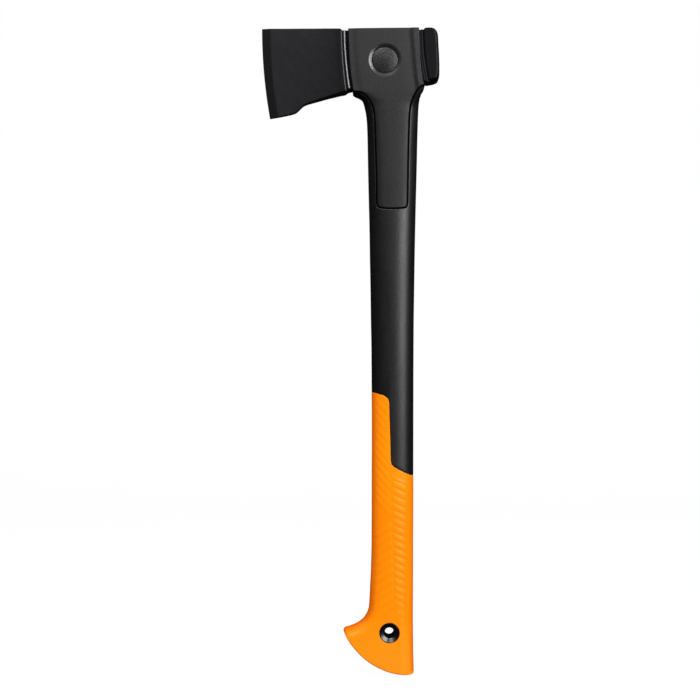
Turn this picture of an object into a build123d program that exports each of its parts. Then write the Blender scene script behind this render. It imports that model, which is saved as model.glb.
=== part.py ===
"""Splitting axe (maul) with a wedge head, a hollow composite shaft and a two-tone soft grip.

Millimetres. The handle runs along +Z with the head on top, the cutting edge faces -X (front) and
the poll faces +X (back); left is -Y and right is +Y. The tool is symmetric about the plane Y = 0.
The origin is the centre of the hanging hole near the butt.
"""

from build123d import *
import os

os.makedirs("parts", exist_ok=True)

# Plane.XZ faces -Y, so its positive offsets lie on the left
LEFT, RIGHT = 1, -1

# reach of prisms to each side of Y = 0, past the full thickness of the tool
CUT_REACH = 30.0
FORM_REACH = 40.0

# ---------------------------------------------------------------- driving dimensions
# head: X positions are those at the top corner of the cutting edge
EDGE_X = -118.7
EDGE_HALF = 0.25  # half thickness left at the honed edge
BEVEL_X = -111.0  # end of the ground bevel
BEVEL_HALF = 2.8
SHOULDER_X = -44.6  # widest point of the wedge
SHOULDER_HALF = 15.2
NECK_HALF = 12.2  # neck where it leaves the collar
WAIST_HALF = 9.5  # neck inside the collar
POLL_HALF = 13.0
POLL_X = 46.3  # flat poll face
POLL_TOP_RADIUS = 6.0
POLL_BOTTOM_RADIUS = 6.2
POLL_CHAMFER = 1.6
PLAN_END_X = 60.0  # back end of the head's plan, past the poll
HEAD_TOP_Z = 559.9  # top edge at the neck
SWEEP_TOP_Z = 561.1  # height where the sweep starts
SWEEP_DEPTH = 56.0
HEAD_SWEEP = 3.36  # how far the edge curves back at the sweep depth
HEAD_SWEEP_GAIN = 0.0145  # extra sweep per mm away from the edge

# shaft
PANEL_THICKNESS = 2.2
PANEL_GAP = 0.9  # shadow gap round the side panel
GRIP_THICKNESS = 2.6
WALL_THICKNESS = 6.4  # from outer skin to the hollow
HOLLOW_FRONT_LIMIT = -21.0  # the hollow ignores any outer front beyond this

# lock buttons and pin in the collar
LOCK_X, LOCK_Z = -4.2, 529.9
BUTTON_SEAT_RADIUS = 12.0
BUTTON_RADIUS = BUTTON_SEAT_RADIUS - 0.1
BUTTON_SEAT_CUT = 10.0
CONE_RADIUS = 14.85  # conical rim of the seat, at the panel's face
CONE_FLOOR_RADIUS = BUTTON_SEAT_RADIUS + 0.3
CONE_DEPTH = 1.5
BUTTON_BASE_Y = 13.0  # distances from Y = 0
BUTTON_TOP_Y = 16.7
BUTTON_FILLET = 0.6
DISH_RADIUS = 100.0
DISH_DEPTH = 0.5
PIN_RADIUS = 5.0
PIN_BORE_RADIUS = PIN_RADIUS + 0.02
PIN_HALF = 12.9
PIN_CHAMFER = 0.8

# hanging hole
BUSH_SEAT_RADIUS = 9.5
BUSH_RADIUS = BUSH_SEAT_RADIUS - 0.05
BUSH_HALF = 14.8
THROAT_RADIUS = 4.5
THROAT_HALF = 8.7
FLARE_RADIUS = 8.9

# core channel from the hollow to the butt, closed by the grip's skin
CHANNEL_X = 15.2
CHANNEL_RADIUS = 2.6
CHANNEL_BOTTOM_Z = -60.0
CHANNEL_TOP_Z = 30.0

# ---------------------------------------------------------------- head
# half plan of the head: x, half thickness
BEVEL = [(EDGE_X, EDGE_HALF), (BEVEL_X, BEVEL_HALF)]
CHEEK = [
    (BEVEL_X, BEVEL_HALF),
    (-92.5, 4.5), (-73.8, 7.2), (-64.5, 8.9), (-55.2, 11.3), (-48.5, 13.6),
    (SHOULDER_X, SHOULDER_HALF),
]
NECK_AND_POLL = [
    (SHOULDER_X, SHOULDER_HALF), (-44.0, 13.7), (-42.1, 13.7),
    (-40.9, NECK_HALF), (-36.5, NECK_HALF),
    (-32.5, WAIST_HALF), (23.0, WAIST_HALF),
    (26.0, NECK_HALF), (31.6, NECK_HALF),
    (32.3, POLL_HALF), (PLAN_END_X, POLL_HALF),
]
PLAN_LEVELS = (562.5, 548.0, 532.0, 516.0, 500.0, 476.0)

# side outline of the head: x, z
HEAD_TOP = [
    (-124.0, 561.6), (-46.0, HEAD_TOP_Z), (-44.0, 558.2), (-37.0, 558.1), (-33.0, 554.0),
    (25.0, 554.0), (28.5, 558.0), (32.6, 558.1), (33.6, 559.6), (36.0, 560.3), (40.4, 560.3),
]
POLL_FACE = [(POLL_X, 554.3), (POLL_X, 517.2)]
NECK_UNDERSIDE = [
    (40.2, 511.0), (35.6, 510.7), (34.4, 512.6), (30.5, 513.4), (26.0, 516.0),
    (-28.0, 508.0), (-32.0, 504.2), (-37.2, 503.9), (-39.2, 502.1),
]
WEDGE_UNDERSIDE = [
    (-39.2, 502.1), (-44.5, 500.8), (-55.0, 497.8), (-63.3, 495.3), (-71.7, 492.7),
    (-76.0, 491.3),
]
HEEL_CURVE = [
    (-76.0, 491.3), (-80.1, 489.7), (-82.9, 487.1), (-84.9, 484.7), (-87.5, 482.8),
    (-93.1, 480.9),
]
HEEL = [(-93.1, 480.9), (-101.5, 479.1), (-109.8, 477.4), (-124.0, 476.3)]


def swept(points, side, z):
    """Plan points on one side at height z, leaning back towards the poll below the top corner."""
    drop = ((SWEEP_TOP_Z - z) / SWEEP_DEPTH) ** 2
    return [
        (x + (HEAD_SWEEP + HEAD_SWEEP_GAIN * (x - EDGE_X)) * drop, side * half)
        for x, half in points
    ]


with BuildPart() as head_plan:
    for z in PLAN_LEVELS:
        with BuildSketch(Plane.XY.offset(z)):
            with BuildLine():
                for side in (1, -1):
                    Line(*swept(BEVEL, side, z))
                    Spline(*swept(CHEEK, side, z))
                    Polyline(*swept(NECK_AND_POLL, side, z))
                Line(*swept([(EDGE_X, EDGE_HALF), (EDGE_X, -EDGE_HALF)], 1, z))
                Line(*swept([(PLAN_END_X, POLL_HALF), (PLAN_END_X, -POLL_HALF)], 1, z))
            make_face()
    loft()

with BuildPart() as axe_head:
    with BuildSketch(Plane.XZ):
        with BuildLine():
            Polyline(*HEAD_TOP)
            RadiusArc(HEAD_TOP[-1], POLL_FACE[0], POLL_TOP_RADIUS)
            Line(*POLL_FACE)
            RadiusArc(POLL_FACE[-1], NECK_UNDERSIDE[0], POLL_BOTTOM_RADIUS)
            Polyline(*NECK_UNDERSIDE)
            Polyline(*WEDGE_UNDERSIDE)
            Spline(*HEEL_CURVE, tangents=[(-1.0, -0.33), (-1.0, -0.24)])
            Polyline(*HEEL)
            Line(HEEL[-1], HEAD_TOP[0])
        make_face()
    extrude(amount=CUT_REACH, both=True)
    add(head_plan.part, mode=Mode.INTERSECT)
    # cross hole for the lock pin
    with BuildSketch(Plane.XZ):
        with Locations((LOCK_X, LOCK_Z)):
            Circle(PIN_BORE_RADIUS)
    extrude(amount=CUT_REACH, both=True, mode=Mode.SUBTRACT)
    # the striking edges of the poll are broken
    poll_edges = axe_head.edges().filter_by(
        lambda edge: edge.center().X > POLL_X - 0.2 and abs(edge.center().Y) > POLL_HALF - 0.1
    )
    chamfer(poll_edges, length=POLL_CHAMFER)

# ---------------------------------------------------------------- forms of the handle
# outer form: z, front (-X), back (+X), half thickness, crown, corner radius
FORM = [
    (559.7, -38.2, 27.4, 17.0, 0.2, 1.4),
    (545.0, -37.8, 27.9, 17.0, 0.2, 1.4),
    (529.7, -37.0, 28.7, 17.0, 0.2, 1.4),
    (515.0, -35.6, 30.3, 17.0, 0.2, 1.6),
    (508.6, -34.7, 31.6, 17.0, 0.2, 2.0),
    (507.2, -34.5, 32.8, 17.0, 0.2, 2.4),
    (505.8, -34.3, 32.6, 17.0, 0.2, 2.8),
    (504.2, -34.1, 31.5, 17.0, 0.2, 3.2),
    (502.3, -33.9, 30.5, 17.0, 0.3, 3.8),
    (500.6, -33.6, 29.7, 17.0, 0.3, 4.4),
    (499.4, -32.8, 29.2, 17.0, 0.3, 4.8),
    (498.5, -30.85, 29.05, 16.95, 0.3, 5.2),
    (497.5, -28.65, 28.65, 16.95, 0.3, 5.6),
    (496.2, -27.05, 28.45, 16.9, 0.3, 6.0),
    (494.6, -25.65, 28.25, 16.9, 0.3, 6.4),
    (492.0, -24.25, 27.85, 16.8, 0.4, 7.0),
    (488.5, -23.05, 27.45, 16.7, 0.4, 7.6),
    (484.0, -22.0, 27.2, 16.6, 0.5, 8.2),
    (478.0, -21.1, 26.95, 16.4, 0.5, 8.8),
    (470.0, -20.55, 26.7, 16.2, 0.6, 9.4),
    (457.5, -20.15, 26.35, 15.9, 0.7, 10.0),
    (440.0, -19.85, 26.0, 15.5, 0.9, 10.5),
    (420.0, -19.45, 25.5, 15.1, 1.0, 11.0),
    (400.0, -19.0, 25.0, 14.7, 1.2, 11.2),
    (373.5, -18.35, 24.4, 14.3, 1.4, 11.2),
    (345.5, -17.95, 23.85, 14.0, 1.6, 11.2),
    (317.5, -17.4, 23.45, 13.8, 1.7, 11.2),
    (289.5, -17.05, 23.05, 13.7, 1.7, 11.2),
    (261.5, -16.55, 22.85, 13.7, 1.7, 11.2),
    (233.5, -16.35, 22.75, 13.7, 1.7, 11.2),
    (205.5, -16.2, 22.7, 13.7, 1.7, 11.2),
    (177.5, -16.15, 22.65, 13.7, 1.7, 11.2),
    (149.5, -16.25, 22.6, 13.8, 1.7, 11.2),
    (121.5, -16.25, 22.55, 13.9, 1.6, 11.2),
    (93.5, -16.35, 22.45, 14.0, 1.5, 11.2),
    (79.4, -16.4, 22.4, 14.1, 1.5, 11.2),
    (65.4, -16.75, 22.4, 14.25, 1.4, 11.0),
    (51.4, -17.25, 22.35, 14.4, 1.3, 10.8),
    (37.4, -18.0, 22.3, 14.6, 1.2, 10.4),
    (28.1, -18.5, 22.3, 14.75, 1.1, 10.0),
    (22.5, -18.95, 22.25, 14.8, 1.0, 9.6),
    (19.7, -19.65, 22.25, 14.85, 1.0, 9.4),
    (16.9, -20.75, 22.25, 14.9, 0.9, 9.2),
    (14.1, -22.4, 22.25, 14.9, 0.9, 9.0),
    (11.3, -24.6, 22.15, 14.95, 0.8, 8.6),
    (8.5, -28.1, 22.2, 15.0, 0.7, 8.0),
    (6.6, -31.7, 22.2, 15.0, 0.6, 7.6),
    (5.2, -35.3, 22.2, 15.0, 0.5, 7.0),
    (4.0, -38.9, 22.2, 15.0, 0.5, 6.4),
    (3.1, -42.3, 22.2, 15.0, 0.5, 6.0),
    (-6.0, -43.7, 22.25, 15.0, 0.5, 6.0),
    (-20.0, -43.7, 22.4, 15.0, 0.5, 6.0),
    (-46.0, -43.7, 22.65, 15.0, 0.5, 6.0),
]
COLLAR_TOP_Z = FORM[0][0]
COLLAR_HALF = FORM[0][3]

# the stiff core leaves the hook to the soft grip; z of the station: front of the core
CORE_FRONT = {
    28.1: -15.6, 22.5: -15.9, 19.7: -16.2, 16.9: -16.6, 14.1: -17.2, 11.3: -18.2, 8.5: -19.7,
    6.6: -21.3, 5.2: -22.8, 4.0: -24.2, 3.1: -25.4, -6.0: -35.0, -20.0: -38.0, -46.0: -38.0,
}

# limits in z that pick the stations of each inner form
PANEL_FLOOR_MIN_Z = 370.0
CORE_MAX_Z = 262.0
HOLLOW_MIN_Z, HOLLOW_MAX_Z = 20.0, 480.0

# the panel floor runs past the outer form at the top, front and back
PANEL_FLOOR_TOP_Z = 575.0
PANEL_FLOOR_OVERRUN = 20.0

# smallest corner radii of the inner forms
PANEL_FLOOR_CORNER = 0.6
CORE_MIN_CORNER = 2.0
HOLLOW_MIN_CORNER = 1.5


def form_section(z, front, back, half, crown, radius):
    """One closed cross-section: crowned sides, straight front and back, rounded corners."""
    middle = (front + back) / 2
    with BuildSketch(Plane.XY.offset(z)) as section:
        with BuildLine():
            Line((front, crown - half), (front, half - crown))
            ThreePointArc((front, half - crown), (middle, half), (back, half - crown))
            Line((back, half - crown), (back, crown - half))
            ThreePointArc((back, crown - half), (middle, -half), (front, crown - half))
        make_face()
        fillet(section.vertices(), radius)
    return section.sketch


def form_loft(rows):
    """Ruled loft through rows laid out like FORM."""
    with BuildPart() as form:
        for row in rows:
            add(form_section(*row))
        loft(ruled=True)
    return form.part


outer_form = form_loft(FORM)

# the same form one panel thickness inside, where the side panels lie
panel_stations = [(PANEL_FLOOR_TOP_Z,) + FORM[0][1:]]
panel_stations += [row for row in FORM if row[0] > PANEL_FLOOR_MIN_Z]
panel_floor = form_loft([
    (
        z,
        front - PANEL_FLOOR_OVERRUN,
        back + PANEL_FLOOR_OVERRUN,
        half - PANEL_THICKNESS,
        crown,
        PANEL_FLOOR_CORNER,
    )
    for z, front, back, half, crown, _ in panel_stations
])

# one grip thickness inside, where the soft grip is moulded over the shaft
core_form = form_loft([
    (
        z,
        CORE_FRONT.get(z, front + GRIP_THICKNESS),
        back - GRIP_THICKNESS,
        half - GRIP_THICKNESS,
        crown,
        max(radius - GRIP_THICKNESS, CORE_MIN_CORNER),
    )
    for z, front, back, half, crown, radius in FORM
    if z < CORE_MAX_Z
])

# the hollow of the shaft
hollow = form_loft([
    (
        z,
        max(front, HOLLOW_FRONT_LIMIT) + WALL_THICKNESS,
        back - WALL_THICKNESS,
        half - WALL_THICKNESS,
        crown * 0.5,
        max(radius - WALL_THICKNESS, HOLLOW_MIN_CORNER),
    )
    for z, front, back, half, crown, radius in FORM
    if HOLLOW_MIN_Z < z < HOLLOW_MAX_Z
])

# ---------------------------------------------------------------- butt
# a single sweeping cut from hook to heel: x, z
BUTT_CURVE = [
    (-42.59, 1.94), (-42.38, 1.08), (-38.79, -5.95), (-35.11, -11.28), (-31.44, -15.87),
    (-27.68, -19.73), (-24.01, -23.2), (-20.34, -26.08), (-16.57, -28.56), (-12.91, -30.74),
    (-9.24, -32.62), (-5.47, -34.21), (-1.8, -35.69), (1.86, -36.88), (5.63, -37.77),
    (9.3, -38.27), (12.97, -38.62), (16.73, -38.62), (19.9, -38.27), (22.3, -36.78),
]
# move of the cut, up and back, that leaves the grip's skin under the core
BUTT_SKIN_SHIFT = (0.9, 0.0, 2.6)

with BuildPart() as butt_cut:
    with BuildSketch(Plane.XZ):
        with BuildLine():
            Spline(*BUTT_CURVE)
            Polyline(
                BUTT_CURVE[-1],
                (40.0, BUTT_CURVE[-1][1]),
                (40.0, -60.0),
                (-60.0, -60.0),
                (-60.0, BUTT_CURVE[0][1]),
                BUTT_CURVE[0],
            )
        make_face()
    extrude(amount=FORM_REACH, both=True)

# ---------------------------------------------------------------- soft grip
# upper boundary of the grip from front to back, then round the handle below it: x, z
GRIP_TOP_FRONT = [(-60.0, 226.0), (-30.0, 226.0), (-16.4, 222.5), (-8.7, 220.7), (-3.6, 219.1)]
GRIP_UPPER_BEND = [(-3.6, 219.1), (-1.0, 217.0), (-0.2, 213.6)]
GRIP_DROP = [(-0.2, 213.6), (0.5, 187.9), (1.3, 158.8)]
GRIP_LOWER_BEND = [(1.3, 158.8), (2.2, 155.0), (5.1, 152.3)]
GRIP_TOP_BACK = [(5.1, 152.3), (10.7, 149.5), (17.3, 146.8), (24.0, 144.6)]
GRIP_SURROUND = [(24.0, 144.6), (60.0, 140.0), (60.0, -70.0), (-60.0, -70.0), (-60.0, 226.0)]

with BuildPart() as grip_zone:
    with BuildSketch(Plane.XZ):
        with BuildLine():
            Polyline(*GRIP_TOP_FRONT)
            Spline(*GRIP_UPPER_BEND, tangents=[(1, -0.3), (0.03, -1)])
            Polyline(*GRIP_DROP)
            Spline(*GRIP_LOWER_BEND, tangents=[(0.03, -1), (1, -0.6)])
            Spline(*GRIP_TOP_BACK)
            Polyline(*GRIP_SURROUND)
        make_face()
    extrude(amount=FORM_REACH, both=True)

with BuildPart() as grip_sleeve:
    add(outer_form)
    add(grip_zone.part, mode=Mode.INTERSECT)
    add(core_form, mode=Mode.SUBTRACT)
    add(butt_cut.part, mode=Mode.SUBTRACT)

# the grip closes under the butt: the core stops one skin short of the sweeping cut
with BuildPart() as butt_skin:
    add(core_form)
    add(butt_cut.part.moved(Location(BUTT_SKIN_SHIFT)), mode=Mode.INTERSECT)
    add(butt_cut.part, mode=Mode.SUBTRACT)

with BuildPart() as grip:
    add(grip_sleeve.part)
    add(butt_skin.part)
    with BuildSketch(Plane.XZ):
        Circle(BUSH_SEAT_RADIUS)
    extrude(amount=CUT_REACH, both=True, mode=Mode.SUBTRACT)

# ---------------------------------------------------------------- side panels
# a wide collar cover with a long tongue; its front side downwards, its back side upwards: x, z
PANEL_FRONT = [
    (-29.4, 501.0), (-26.3, 500.2), (-22.7, 497.8), (-19.9, 494.6), (-17.55, 490.9),
    (-15.7, 486.9), (-14.6, 481.7), (-13.9, 474.3), (-13.4, 460.4), (-12.7, 437.3),
    (-12.0, 414.3), (-11.6, 399.0),
]
PANEL_BACK = [
    (16.5, 399.0), (16.9, 419.0), (17.3, 446.7), (17.8, 465.2), (18.2, 478.9), (19.0, 487.6),
    (20.3, 492.8), (22.1, 497.4), (24.9, 502.3), (28.1, 505.6), (31.0, 507.0),
]
PANEL_REACH_X = 42.0  # half width of the outline before any overrun
PANEL_HALF_SPACE = (200.0, 100.0, 300.0)  # box that removes the opposite panel
PANEL_HALF_SPACE_Z = 470.0


def panel_prism(grow, overrun, top):
    """Panel outline grown by a gap, run past the collar's front and back, through the handle."""
    side_drop = 0.3 * grow
    corner = 0.7 * grow
    front = [(PANEL_FRONT[0][0], PANEL_FRONT[0][1] - grow)]
    front += [(x - grow, z - side_drop) for x, z in PANEL_FRONT[1:]]
    back = [(x + grow, z - side_drop) for x, z in PANEL_BACK[:-1]]
    back += [(PANEL_BACK[-1][0], PANEL_BACK[-1][1] - grow)]
    tip_front = (-7.2, 394.3 - grow)
    tip_back = (12.2, 394.0 - grow)
    reach = PANEL_REACH_X + overrun
    front_end = (-reach, 500.9 - grow)
    with BuildPart() as prism:
        with BuildSketch(Plane.XZ.offset(CUT_REACH)):
            with BuildLine():
                Polyline(front_end, (-32.0, 501.3 - grow), front[0])
                Spline(*front)
                Spline(
                    front[-1],
                    (-10.6 - corner, 395.4 - corner),
                    tip_front,
                    tangents=[(0, -1), (1, 0)],
                )
                Spline(tip_front, (2.4, 393.3 - grow), tip_back, tangents=[(1, 0), (1, 0)])
                Spline(
                    tip_back,
                    (15.4 + corner, 395.4 - corner),
                    back[0],
                    tangents=[(1, 0), (0, 1)],
                )
                Spline(*back)
                Polyline(back[-1], (reach, 507.6 - grow), (reach, top), (-reach, top), front_end)
            make_face()
        extrude(amount=2 * CUT_REACH, dir=(0.0, 1.0, 0.0))
    return prism.part


panel_body = panel_prism(grow=0.0, overrun=0.1, top=COLLAR_TOP_Z + 5.0)
pocket_body = panel_prism(grow=PANEL_GAP, overrun=8.0, top=COLLAR_TOP_Z + 8.0)

with BuildPart() as pocket:
    add(pocket_body)
    add(panel_floor, mode=Mode.SUBTRACT)

# both panels together
with BuildPart() as panels:
    add(outer_form)
    add(panel_body, mode=Mode.INTERSECT)
    add(panel_floor, mode=Mode.SUBTRACT)
    # button seat with its conical rim, cut from both sides
    with BuildSketch(Plane.XZ):
        with Locations((LOCK_X, LOCK_Z)):
            Circle(BUTTON_SEAT_RADIUS)
    extrude(amount=CUT_REACH, both=True, mode=Mode.SUBTRACT)
    for side in (LEFT, RIGHT):
        with BuildSketch(Plane.XZ.offset(side * COLLAR_HALF)):
            with Locations((LOCK_X, LOCK_Z)):
                Circle(CONE_RADIUS)
        with BuildSketch(Plane.XZ.offset(side * (COLLAR_HALF - CONE_DEPTH))):
            with Locations((LOCK_X, LOCK_Z)):
                Circle(CONE_FLOOR_RADIUS)
        loft(mode=Mode.SUBTRACT)


def side_panel(side):
    """The panel on one side, left after the other half is cut away."""
    with BuildPart() as panel:
        add(panels.part)
        with Locations((0.0, side * PANEL_HALF_SPACE[1] / 2, PANEL_HALF_SPACE_Z)):
            Box(*PANEL_HALF_SPACE, mode=Mode.SUBTRACT)
    return panel.part


# ---------------------------------------------------------------- handle core
# collar loop, hollow shaft and butt
with BuildPart() as handle_core:
    add(outer_form)
    add(butt_cut.part, mode=Mode.SUBTRACT)
    add(grip_sleeve.part, mode=Mode.SUBTRACT)
    add(butt_skin.part, mode=Mode.SUBTRACT)
    add(hollow, mode=Mode.SUBTRACT)
    add(pocket.part, mode=Mode.SUBTRACT)
    add(axe_head.part, mode=Mode.SUBTRACT)
    # lock pin bore
    with BuildSketch(Plane.XZ):
        with Locations((LOCK_X, LOCK_Z)):
            Circle(PIN_BORE_RADIUS)
    extrude(amount=CUT_REACH, both=True, mode=Mode.SUBTRACT)
    # button seats
    for side in (LEFT, RIGHT):
        with BuildSketch(Plane.XZ.offset(side * BUTTON_BASE_Y)):
            with Locations((LOCK_X, LOCK_Z)):
                Circle(BUTTON_SEAT_RADIUS)
        extrude(amount=side * BUTTON_SEAT_CUT, mode=Mode.SUBTRACT)
    # hanging hole
    with BuildSketch(Plane.XZ):
        Circle(BUSH_SEAT_RADIUS)
    extrude(amount=CUT_REACH, both=True, mode=Mode.SUBTRACT)
    # channel from the hollow down to the grip's skin
    with BuildSketch(Plane.XY.offset(CHANNEL_BOTTOM_Z)):
        with Locations((CHANNEL_X, 0.0)):
            Circle(CHANNEL_RADIUS)
    extrude(amount=CHANNEL_TOP_Z - CHANNEL_BOTTOM_Z, mode=Mode.SUBTRACT)


# ---------------------------------------------------------------- small parts
def lock_button(side):
    """Round button with a filleted rim and a shallow dish in its outer face."""
    with BuildPart() as button:
        with BuildSketch(Plane.XZ.offset(side * BUTTON_BASE_Y)):
            with Locations((LOCK_X, LOCK_Z)):
                Circle(BUTTON_RADIUS)
        extrude(amount=side * (BUTTON_TOP_Y - BUTTON_BASE_Y))
        rims = button.edges().filter_by(GeomType.CIRCLE).sort_by(Axis.Y)
        fillet(rims[0] if side == LEFT else rims[-1], BUTTON_FILLET)
        dish_y = -side * (BUTTON_TOP_Y + DISH_RADIUS - DISH_DEPTH)
        with Locations((LOCK_X, dish_y, LOCK_Z)):
            Sphere(DISH_RADIUS, mode=Mode.SUBTRACT)
    return button.part


with BuildPart() as head_lock_pin:
    with BuildSketch(Plane.XZ):
        with Locations((LOCK_X, LOCK_Z)):
            Circle(PIN_RADIUS)
    extrude(amount=PIN_HALF, both=True)
    chamfer(head_lock_pin.edges().filter_by(GeomType.CIRCLE), PIN_CHAMFER)

# bush with a straight throat flaring to both faces, turned about Y
with BuildPart() as hang_hole_bush:
    with BuildSketch(Plane.XY):
        with BuildLine():
            Polyline(
                (THROAT_RADIUS, -THROAT_HALF),
                (THROAT_RADIUS, THROAT_HALF),
                (FLARE_RADIUS, BUSH_HALF),
                (BUSH_RADIUS, BUSH_HALF),
                (BUSH_RADIUS, -BUSH_HALF),
                (FLARE_RADIUS, -BUSH_HALF),
                (THROAT_RADIUS, -THROAT_HALF),
            )
        make_face()
    revolve(axis=Axis.Y)

# ---------------------------------------------------------------- one STEP file per piece
pieces = {
    "axe_head": axe_head.part,
    "handle_core": handle_core.part,
    "grip": grip.part,
    "side_panel_left": side_panel(LEFT),
    "side_panel_right": side_panel(RIGHT),
    "lock_button_left": lock_button(LEFT),
    "lock_button_right": lock_button(RIGHT),
    "head_lock_pin": head_lock_pin.part,
    "hang_hole_bush": hang_hole_bush.part,
}
for name, piece in pieces.items():
    piece.label = name
    export_step(piece, f"parts/{name}.step")
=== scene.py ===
"""A hand axe standing upright: forged head, composite handle with side covers and soft grip.

x runs from the cutting edge (-x, the front) to the poll (+x, the back), y through the
thickness (-y faces the camera, and is the left side), z up the handle. The origin is the
centre of the hang hole. Shape code is in millimetres; the stage and shaders are in metres.
"""
import math

import bmesh
import bpy
import numpy as np
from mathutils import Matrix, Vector, kdtree
from mathutils import geometry as mgeo

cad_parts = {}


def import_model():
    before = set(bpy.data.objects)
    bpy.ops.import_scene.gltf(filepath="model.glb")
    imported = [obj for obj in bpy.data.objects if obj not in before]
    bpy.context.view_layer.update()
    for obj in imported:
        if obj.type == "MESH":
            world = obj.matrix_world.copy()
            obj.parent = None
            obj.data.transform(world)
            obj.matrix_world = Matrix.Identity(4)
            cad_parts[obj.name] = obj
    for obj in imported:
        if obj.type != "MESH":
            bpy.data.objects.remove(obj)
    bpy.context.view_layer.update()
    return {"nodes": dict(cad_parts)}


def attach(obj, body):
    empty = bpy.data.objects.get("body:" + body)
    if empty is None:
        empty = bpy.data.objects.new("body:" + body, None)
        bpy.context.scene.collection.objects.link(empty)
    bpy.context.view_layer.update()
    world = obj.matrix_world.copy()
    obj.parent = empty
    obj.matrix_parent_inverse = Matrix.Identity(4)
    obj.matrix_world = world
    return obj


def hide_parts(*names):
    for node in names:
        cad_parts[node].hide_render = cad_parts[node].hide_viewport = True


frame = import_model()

MM = 0.001
rng = np.random.default_rng(7)


# ---------------------------------------------------------------- curves and distances
def pchip(table):
    """Monotone cubic through (x, y) pairs."""
    x, y = np.array(sorted(table), float).T
    step = np.diff(x)
    rise = np.diff(y) / step
    slope = np.zeros_like(y)
    slope[0], slope[-1] = rise[0], rise[-1]
    for i in range(1, len(x) - 1):
        if rise[i - 1] * rise[i] > 0:
            before, after = 2 * step[i] + step[i - 1], step[i] + 2 * step[i - 1]
            slope[i] = (before + after) / (before / rise[i - 1] + after / rise[i])

    def value(at):
        at = np.clip(np.asarray(at, float), x[0], x[-1])
        i = np.clip(np.searchsorted(x, at, side="right") - 1, 0, len(x) - 2)
        t = (at - x[i]) / step[i]
        return (
            (2 * t**3 - 3 * t**2 + 1) * y[i]
            + (t**3 - 2 * t**2 + t) * step[i] * slope[i]
            + (-2 * t**3 + 3 * t**2) * y[i + 1]
            + (t**3 - t**2) * step[i] * slope[i + 1]
        )

    return value


def smooth(start, end, value):
    """Eased step from 0 at start to 1 at end."""
    t = np.clip((np.asarray(value, float) - start) / (end - start), 0, 1)
    return t * t * (3 - 2 * t)


def superellipse(offset, power):
    """Height, 0..1, of a unit superellipse at this offset from its middle."""
    return np.power(np.maximum(1 - np.abs(offset) ** power, 0), 1 / power)


def edge_roll(dist, radius):
    """How far a quarter-round edge lies below the flat, dist in from the edge."""
    dist = np.minimum(dist, radius)
    return radius - np.sqrt(np.maximum(radius * radius - (radius - dist) ** 2, 0))


def run_length(line):
    return np.r_[0, np.cumsum(np.hypot(*np.diff(line, axis=0).T))]


def points_at(line, run):
    """Points of a polyline at these lengths along it."""
    known = run_length(line)
    return np.c_[np.interp(run, known, line[:, 0]), np.interp(run, known, line[:, 1])]


def along(line, share):
    """Points of a polyline at these shares of its length."""
    return points_at(line, np.asarray(share) * run_length(line)[-1])


def resample(points, step):
    """A polyline with even spacing near step."""
    line = np.asarray(points, float)
    total = run_length(line)[-1]
    count = max(2, int(round(total / step)) + 1)
    return points_at(line, np.linspace(0, total, count))


def curve(points, step):
    """Centripetal Catmull-Rom curve through points, evenly resampled."""
    points = np.asarray(points, float)
    points = np.vstack([2 * points[0] - points[1], points, 2 * points[-1] - points[-2]])
    pieces = []
    for i in range(1, len(points) - 2):
        level = points[i - 1:i + 3]
        knot = [0.0]
        for start, end in zip(level[:-1], level[1:]):
            knot.append(knot[-1] + max(np.hypot(*(end - start)) ** 0.5, 1e-6))
        t = np.linspace(knot[1], knot[2], 24, endpoint=False)[:, None]

        def between(first, last, start, end):
            return (end - t) / (end - start) * first + (t - start) / (end - start) * last

        for span in (1, 2):
            level = [
                between(level[j], level[j + 1], knot[j], knot[j + span]) for j in range(4 - span)
            ]
        pieces.append(between(*level, knot[1], knot[2]))
    pieces.append(points[-2][None])
    return resample(np.vstack(pieces), step)


def shifted(line, dist):
    """Polyline moved dist to its left-hand side."""
    tangent = np.gradient(line, axis=0)
    tangent /= np.maximum(np.hypot(*tangent.T), 1e-9)[:, None]
    return line + dist * np.c_[-tangent[:, 1], tangent[:, 0]]


def inside(polygon, points):
    """Which points lie in the polygon."""
    x, y = points.T
    result = np.zeros(len(points), bool)
    for (x1, y1), (x2, y2) in zip(polygon, np.roll(polygon, -1, axis=0)):
        if y1 != y2:
            result ^= ((y1 > y) != (y2 > y)) & (x < (x2 - x1) * (y - y1) / (y2 - y1) + x1)
    return result


def distance(line, points):
    """Distance of points to a polyline."""
    best = np.full(len(points), 1e9)
    for start, end in zip(line[:-1], line[1:]):
        span = end - start
        t = np.clip(((points - start) @ span) / max(span @ span, 1e-12), 0, 1)
        best = np.minimum(best, np.hypot(*(points - (start + t[:, None] * span)).T))
    return best


def lattice(columns, rows):
    """All (column, row) pairs."""
    grid_x, grid_y = np.meshgrid(columns, rows)
    return np.c_[grid_x.ravel(), grid_y.ravel()]


def nearest_tree(points):
    tree = kdtree.KDTree(len(points))
    for i, p in enumerate(points):
        tree.insert((p[0], p[1], 0), i)
    tree.balance()
    return tree


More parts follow.
